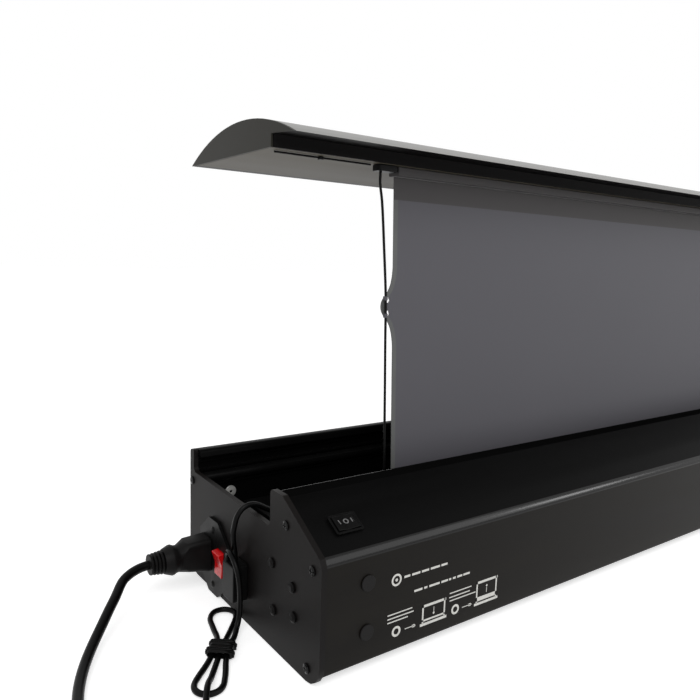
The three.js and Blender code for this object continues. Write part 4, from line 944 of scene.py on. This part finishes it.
def round_nose(form):
    """The two flats between slope and front face as one even curve."""
    flat = [
        edge for edge in form.edges
        if all(on_nose(vert)[0] for vert in edge.verts)
        and abs(edge.verts[0].co.x - edge.verts[1].co.x) < 0.01 * MM
        and edge.calc_length() > 1.5 * MM
    ]
    bmesh.ops.subdivide_edges(form, edges=flat, cuts=NOSE_CUTS)
    for vert in form.verts:
        found, y, z = on_nose(vert)
        if found:
            share = NOSE_RADIUS / math.hypot(y, z)
            vert.co.y = (NOSE_CENTRE[0] + y * share - HALF_DEPTH) * MM
            vert.co.z = (NOSE_CENTRE[1] + z * share) * MM


front = dressed("front_housing", "case_black", 0.25, 30, round_nose)
# The front face painted lighter than the slope: painted light
finish_faces(front, "front_painted_lighter", lambda normal, centre: normal.y < FRONTWARD)
# The nose glossier and painted a little lighter: a painted highlight
finish_faces(
    front, "nose_painted_highlight",
    lambda normal, centre: FRONTWARD <= normal.y < SLOPEWARD and normal.z > 0,
)
# The hump's flat top, and the edge behind it, which is glossier and painted lighter like the nose
# as a painted highlight
finish_faces(front, "matt_black", lambda normal, centre: normal.z > 0.93)
finish_faces(
    front, "nose_painted_highlight",
    lambda normal, centre: normal.y > 0.15 and normal.z > 0.25 and centre.z > 0.1,
)
# The upper sides of the rear wall's ribs, glossier and painted a little lighter than the tray: a
# painted highlight
tray = dressed("rear_tray", "case_black", 0.25, 30)
finish_faces(tray, "rib_painted_highlight", lambda normal, centre: normal.z > 0.5 and 0.05 < centre.z < 0.1)
for side in ("left", "right"):
    dressed(f"{side}_end_plate", "plate_black", 0.5, 30)
    for corner in ("rear", "hump", "nose", "toe"):
        dressed(f"{side}_{corner}_screw", "screw_black", 0.15)
    dressed(f"{side}_roller_bracket", "bracket_black", 0.3)
    dressed(f"{side}_lid_cap", "lid_grey", 0.6, 30)
    dressed(f"{side}_cord_clip", "plastic_black", 0.5)
    for level in ("upper", "lower"):
        dressed(f"{side}_{level}_arm", "aluminium", 0.6)
    for pin in ("lid", "elbow", "foot"):
        dressed(f"{side}_{pin}_pin", "steel", 0.4)
shell = dressed("lid_shell", "lid_black", 0.3, 30)
# Up-facing faces of the lid painted light grey: a painted reflection
finish_faces(shell, "lid_top_painted_reflection", lambda normal, centre: normal.z > 0.12)
for node, material, width, slot in (
    ("lid_panel", "panel_grey", 0.3, "panel_grey"),
    # The fabric rail takes the fabric's painted shadow colour, sitting in the lid's shade
    ("fabric_rail", "fabric_painted_shadow", 0.3, "aluminium"),
    ("lid_bracket", "steel", 0.4, "bright_steel"),
    ("base_bracket", "steel", 0.4, "bright_steel"),
    ("tubular_motor", "steel", 0.5, "bright_steel"),
    ("idler_pin", "steel", 0.4, "bright_steel"),
    ("roller_tube", "aluminium", 0.3, "aluminium"),
    ("roller_crown", "plastic_black", 0.4, "black_plastic"),
    ("drive_wheel", "plastic_black", 0.4, "black_plastic"),
    ("idler_cap", "plastic_black", 0.4, "black_plastic"),
    ("control_box", "plastic_black", 1.0, "black_plastic"),
    ("rocker_bezel", "switch_black", 0.35, "black_plastic"),
    ("control_rocker", "switch_black", 0.35, "black_plastic"),
    ("power_inlet", "plastic_black", 0.4, "black_plastic"),
    ("power_rocker", "red", 0.5, "red_plastic"),
    ("jack_block", "plastic_black", 0.8, "black_plastic"),
    ("upper_limit_plug", "rubber_black", 0.3, "black_rubber"),
    ("lower_limit_plug", "rubber_black", 0.3, "black_rubber"),
):
    dressed(node, material, width)


# Printed guide on the front face: rings, arrows, small framed screens and plain bars
class Marks:
    """Flat raised shapes on one plane, gathered into one mesh."""

    def __init__(self, origin, across, up, out, rise):
        self.origin, self.across, self.up, self.out, self.rise = origin, across, up, out, rise
        self.points, self.faces = [], []

    def spot(self, x, y, lift):
        """A point of the plane, in the frame."""
        return self.origin + (self.across * x + self.up * y + self.out * lift) * MM

    def polygon(self, outline):
        """A raised flat shape from its outline."""
        first = len(self.points)
        count = len(outline)
        for lift in (0, self.rise):
            self.points += [self.spot(x, y, lift) for x, y in outline]
        self.faces.append(tuple(first + i for i in reversed(range(count))))
        self.faces.append(tuple(first + count + i for i in range(count)))
        for i in range(count):
            j = (i + 1) % count
            self.faces.append((first + i, first + j, first + count + j, first + count + i))

    def bar(self, x0, y0, x1, y1, width):
        """A raised line of a width from one point to another."""
        along = Vector((x1 - x0, y1 - y0)).normalized() * width / 2
        side = Vector((-along.y, along.x))
        self.polygon([
            (x0 + side.x, y0 + side.y), (x0 - side.x, y0 - side.y),
            (x1 - side.x, y1 - side.y), (x1 + side.x, y1 + side.y),
        ])

    def ring(self, x, y, outer, inner, sides=24):
        """A raised ring round a point."""
        for i in range(sides):
            a, b = (2 * math.pi * k / sides for k in (i, i + 1))
            self.polygon([
                (x + inner * math.cos(a), y + inner * math.sin(a)),
                (x + outer * math.cos(a), y + outer * math.sin(a)),
                (x + outer * math.cos(b), y + outer * math.sin(b)),
                (x + inner * math.cos(b), y + inner * math.sin(b)),
            ])

    def made(self, name, material, body):
        """The marks so far as one piece."""
        return mesh_piece(name, self.points, self.faces, material, body)


RIGHTWARD = Vector((1, 0, 0))
UPRIGHT = Vector((0, 0, 1))
FRONT = Vector((0, -1, 0))
MARK_GAP = 0.02
MARK_RISE = 0.06
guide = Marks(place(0, FRONT_FACE - MARK_GAP, 0), RIGHTWARD, UPRIGHT, FRONT, MARK_RISE)
guide.ring(59.5, 56.8, 4.2, 2.8)
guide.ring(59.5, 56.8, 1.1, 0.1, 12)
# Two rows of bars: the height of each row, and where each bar starts and ends
ROW_BARS = {
    57.1: ((66, 71), (72.6, 79.8), (81.2, 87.6), (89.2, 97.6), (98.9, 104.6)),
    44.8: (
        (75.2, 82.4), (84, 86.8), (88.6, 98.1), (99.7, 105.9), (106.9, 108.9), (110.5, 113.2),
        (114.8, 119.6), (120.6, 127),
    ),
}
for level, bars in ROW_BARS.items():
    for start, end in bars:
        guide.bar(start, level, end, level, 1.5)
# Short lines beside the framed screens: start, end and height
TEXT_LINES = (
    (53, 74.1, 33.6), (53, 75.4, 30.9), (53, 70.4, 28.4),
    (108.3, 129.5, 34), (108, 128, 31), (108.5, 133.9, 28.4),
)
for start, end, level in TEXT_LINES:
    guide.bar(start, level, end, level, 0.8)
# Rings with an arrow to the right of each
for ring_x, tail, head in ((60.8, 68.2, 77.6), (114.3, 121, 130.6)):
    guide.ring(ring_x, 20.8, 3.7, 2.1)
    guide.bar(tail, 20.2, head - 1, 20.2, 0.55)
    guide.polygon([
        (head - 3.2, 19.3), (head - 1.2, 19.1), (head, 20.2), (head - 1.2, 21.3),
        (head - 3.2, 21.1),
    ])
# Framed screens, each on its base, with an upright arrow inside
for left, right, top, sill, arrow_tail, arrow_head in (
    (83.2, 104.4, 32.3, 21.7, 28.8, 23.3), (134.8, 156, 35.4, 23.4, 25.3, 31.4),
):
    guide.bar(left, top - 0.9, right + 0.6, top - 0.9, 1.8)
    guide.bar(left + 0.65, 19, left + 0.65, top, 1.3)
    guide.bar(right - 0.65, 19, right - 0.65, top, 1.3)
    guide.bar(left, (sill + 20.4) / 2, right, (sill + 20.4) / 2, sill - 20.4)
    guide.bar(left - 1.6, 18.3, right + 1.6, 18.3, 1.9)
    middle = (left + right) / 2
    swell = 1.8 if arrow_head < arrow_tail else -1.8
    guide.bar(middle, arrow_tail, middle, arrow_head + swell, 0.5)
    guide.polygon([
        (middle, arrow_head), (middle + 0.9, arrow_head + swell * 0.5),
        (middle, arrow_head + swell * 1.5), (middle - 0.9, arrow_head + swell * 0.5),
    ])
guide.made("guide_marks", "print_white", "case")

# Marks on the rocker switch: a ring between two bars
SLOPE_FOOT = (8, 83.5)
SLOPE = math.atan2(108.5 - SLOPE_FOOT[1], 52 - SLOPE_FOOT[0])
slope_up = Vector((0, math.cos(SLOPE), math.sin(SLOPE)))
slope_out = Vector((0, -math.sin(SLOPE), math.cos(SLOPE)))
rocker_middle = place(31, 25.4, SLOPE_FOOT[1] + (25.4 - SLOPE_FOOT[0]) * math.tan(SLOPE))
ROCKER_HIGH = 3.4
ROCKER_DIP = 2.2
ROCKER_HALF = 9.2
ROCKER_LEAN = math.atan2(ROCKER_HIGH - ROCKER_DIP, ROCKER_HALF)


def rocker_marks(name, side, bars):
    """Upright bars on one half of the V-shaped rocker, from their places and ends."""
    across = (RIGHTWARD * math.cos(ROCKER_LEAN) * side + slope_out * math.sin(ROCKER_LEAN)) * side
    out = slope_up.cross(across) * -1
    origin = rocker_middle + slope_out * (ROCKER_DIP + MARK_GAP) * MM
    marks = Marks(origin, across, slope_up, out, MARK_RISE)
    for x0, y0, x1, y1 in bars:
        marks.bar(x0, y0, x1, y1, 0.8)
    marks.made(name, "print_grey", "control_switch")


rocker_marks("switch_up_mark", -1, ((-5.1, 2.3, -4.5, -0.9),))
rocker_marks("switch_down_mark", 1, ((4.6, 2.2, 4.6, -1), (6.1, 2.2, 6.1, -1)))
stop_origin = rocker_middle + slope_out * (ROCKER_DIP + 0.3) * MM
stop = Marks(stop_origin, RIGHTWARD, slope_up, slope_out, MARK_RISE)
stop.ring(0.3, 0.7, 2.0, 1.25, 18)
stop.made("switch_stop_mark", "print_grey", "control_switch")

# Bright washer screw inside the rear wall, with a black disc in its head's recess as painted shade
TURNED_SIDES = 20


def turned(name, profile, centre, axis, material, body):
    """A turned piece from (radius, place along the axis) in millimetres."""
    sides = TURNED_SIDES
    side = axis.orthogonal().normalized()
    other = axis.cross(side)
    points, faces = [], []
    for radius, along in profile:
        for k in range(sides):
            angle = 2 * math.pi * k / sides
            spot = side * math.cos(angle) * radius + other * math.sin(angle) * radius
            points.append(centre + (spot + axis * along) * MM)
    for r in range(len(profile) - 1):
        for k in range(sides):
            a, b = r * sides + k, r * sides + (k + 1) % sides
            faces.append((a, b, b + sides, a + sides))
    faces.append(tuple(reversed(range(sides))))
    last = (len(profile) - 1) * sides
    faces.append(tuple(range(last, last + sides)))
    made = mesh_piece(name, points, faces, material, body, True)
    made.data.set_sharp_from_angle(angle=math.radians(40))
    return made


WALL_SCREW_PLACE = place(35.2, 202.2, 61.6)
WALL_SCREW_PROFILE = [
    (1.5, -0.3), (5.0, -0.3), (5.0, 0.6), (4.7, 0.9), (3.2, 0.9), (3.1, 1.3), (1.4, 1.4),
    (1.3, 0.7), (0.1, 0.7),
]
WALL_SHADE_PROFILE = [(1.1, 0.72), (1.1, 0.86), (0.1, 0.86)]
turned("wall_washer_screw", WALL_SCREW_PROFILE, WALL_SCREW_PLACE, FRONT, "zinc", "case")
# A black disc in the head's recess: painted shade
turned("wall_screw_recess_shade", WALL_SHADE_PROFILE, WALL_SCREW_PLACE, FRONT, "screw_black", "case")

# Floor and light
FLOOR_REACH = 14
FLOOR_HEIGHT = -0.0005
FLOOR_GLOW = 0.55
WORLD_LIGHT = 0.55


def background_rays(nodes, links):
    """1 for the rays that see the plain background: camera, transmission and glossy ones."""
    path = nodes.new("ShaderNodeLightPath")
    seen = path.outputs["Is Camera Ray"]
    for kind in ("Is Transmission Ray", "Is Glossy Ray"):
        either = nodes.new("ShaderNodeMath")
        either.operation = "MAXIMUM"
        links.new(seen, either.inputs[0])
        links.new(path.outputs[kind], either.inputs[1])
        seen = either.outputs["Value"]
    return seen


floor_mesh = bpy.data.meshes.new("floor")
floor_corners = [
    (FLOOR_REACH * x, FLOOR_REACH * y, FLOOR_HEIGHT)
    for x, y in ((-1, -1), (1, -1), (1, 1), (-1, 1))
]
floor_mesh.from_pydata(floor_corners, [], [(0, 1, 2, 3)])
floor = bpy.data.objects.new("floor", floor_mesh)
scene.collection.objects.link(floor)
floor_material = bpy.data.materials.new("floor")
floor_material.use_nodes = True
nodes = floor_material.node_tree.nodes
links = floor_material.node_tree.links
floor_shader = nodes["Principled BSDF"]
floor_shader.inputs["Base Color"].default_value = (0.86, 0.86, 0.86, 1)
floor_shader.inputs["Roughness"].default_value = 0.9
floor_shader.inputs["Specular IOR Level"].default_value = 0.1
floor_shader.inputs["Emission Color"].default_value = (1, 1, 1, 1)
lift = nodes.new("ShaderNodeMath")
lift.operation = "MULTIPLY"
lift.inputs[1].default_value = FLOOR_GLOW
links.new(background_rays(nodes, links), lift.inputs[0])
links.new(lift.outputs["Value"], floor_shader.inputs["Emission Strength"])
floor_mesh.materials.append(floor_material)

world = bpy.data.worlds.new("world")
scene.world = world
world.use_nodes = True
nodes = world.node_tree.nodes
links = world.node_tree.links
background = nodes["Background"]
background.inputs["Color"].default_value = (1, 1, 1, 1)
strength = nodes.new("ShaderNodeMapRange")
strength.inputs["To Min"].default_value = WORLD_LIGHT
strength.inputs["To Max"].default_value = 1.0
links.new(background_rays(nodes, links), strength.inputs["Value"])
links.new(strength.outputs["Result"], background.inputs["Strength"])


def lamp(name, at, towards, size, power):
    """A square soft lamp at a place, turned towards a point."""
    data = bpy.data.lights.new(name, "AREA")
    data.shape = "SQUARE"
    data.size = size
    data.energy = power
    made = bpy.data.objects.new(name, data)
    scene.collection.objects.link(made)
    made.location = at
    made.rotation_euler = (Vector(towards) - Vector(at)).to_track_quat("-Z", "Y").to_euler()


lamp("key", (-2.2, -2.0, 2.4), (-0.6, 0, 0.15), 1.6, 46)
lamp("fill", (1.4, -2.6, 1.6), (-0.4, 0, 0.15), 2.0, 26)
lamp("nose_light", (1.24, -1.42, 0.87), (-0.45, -0.1, 0.08), 0.4, 4)
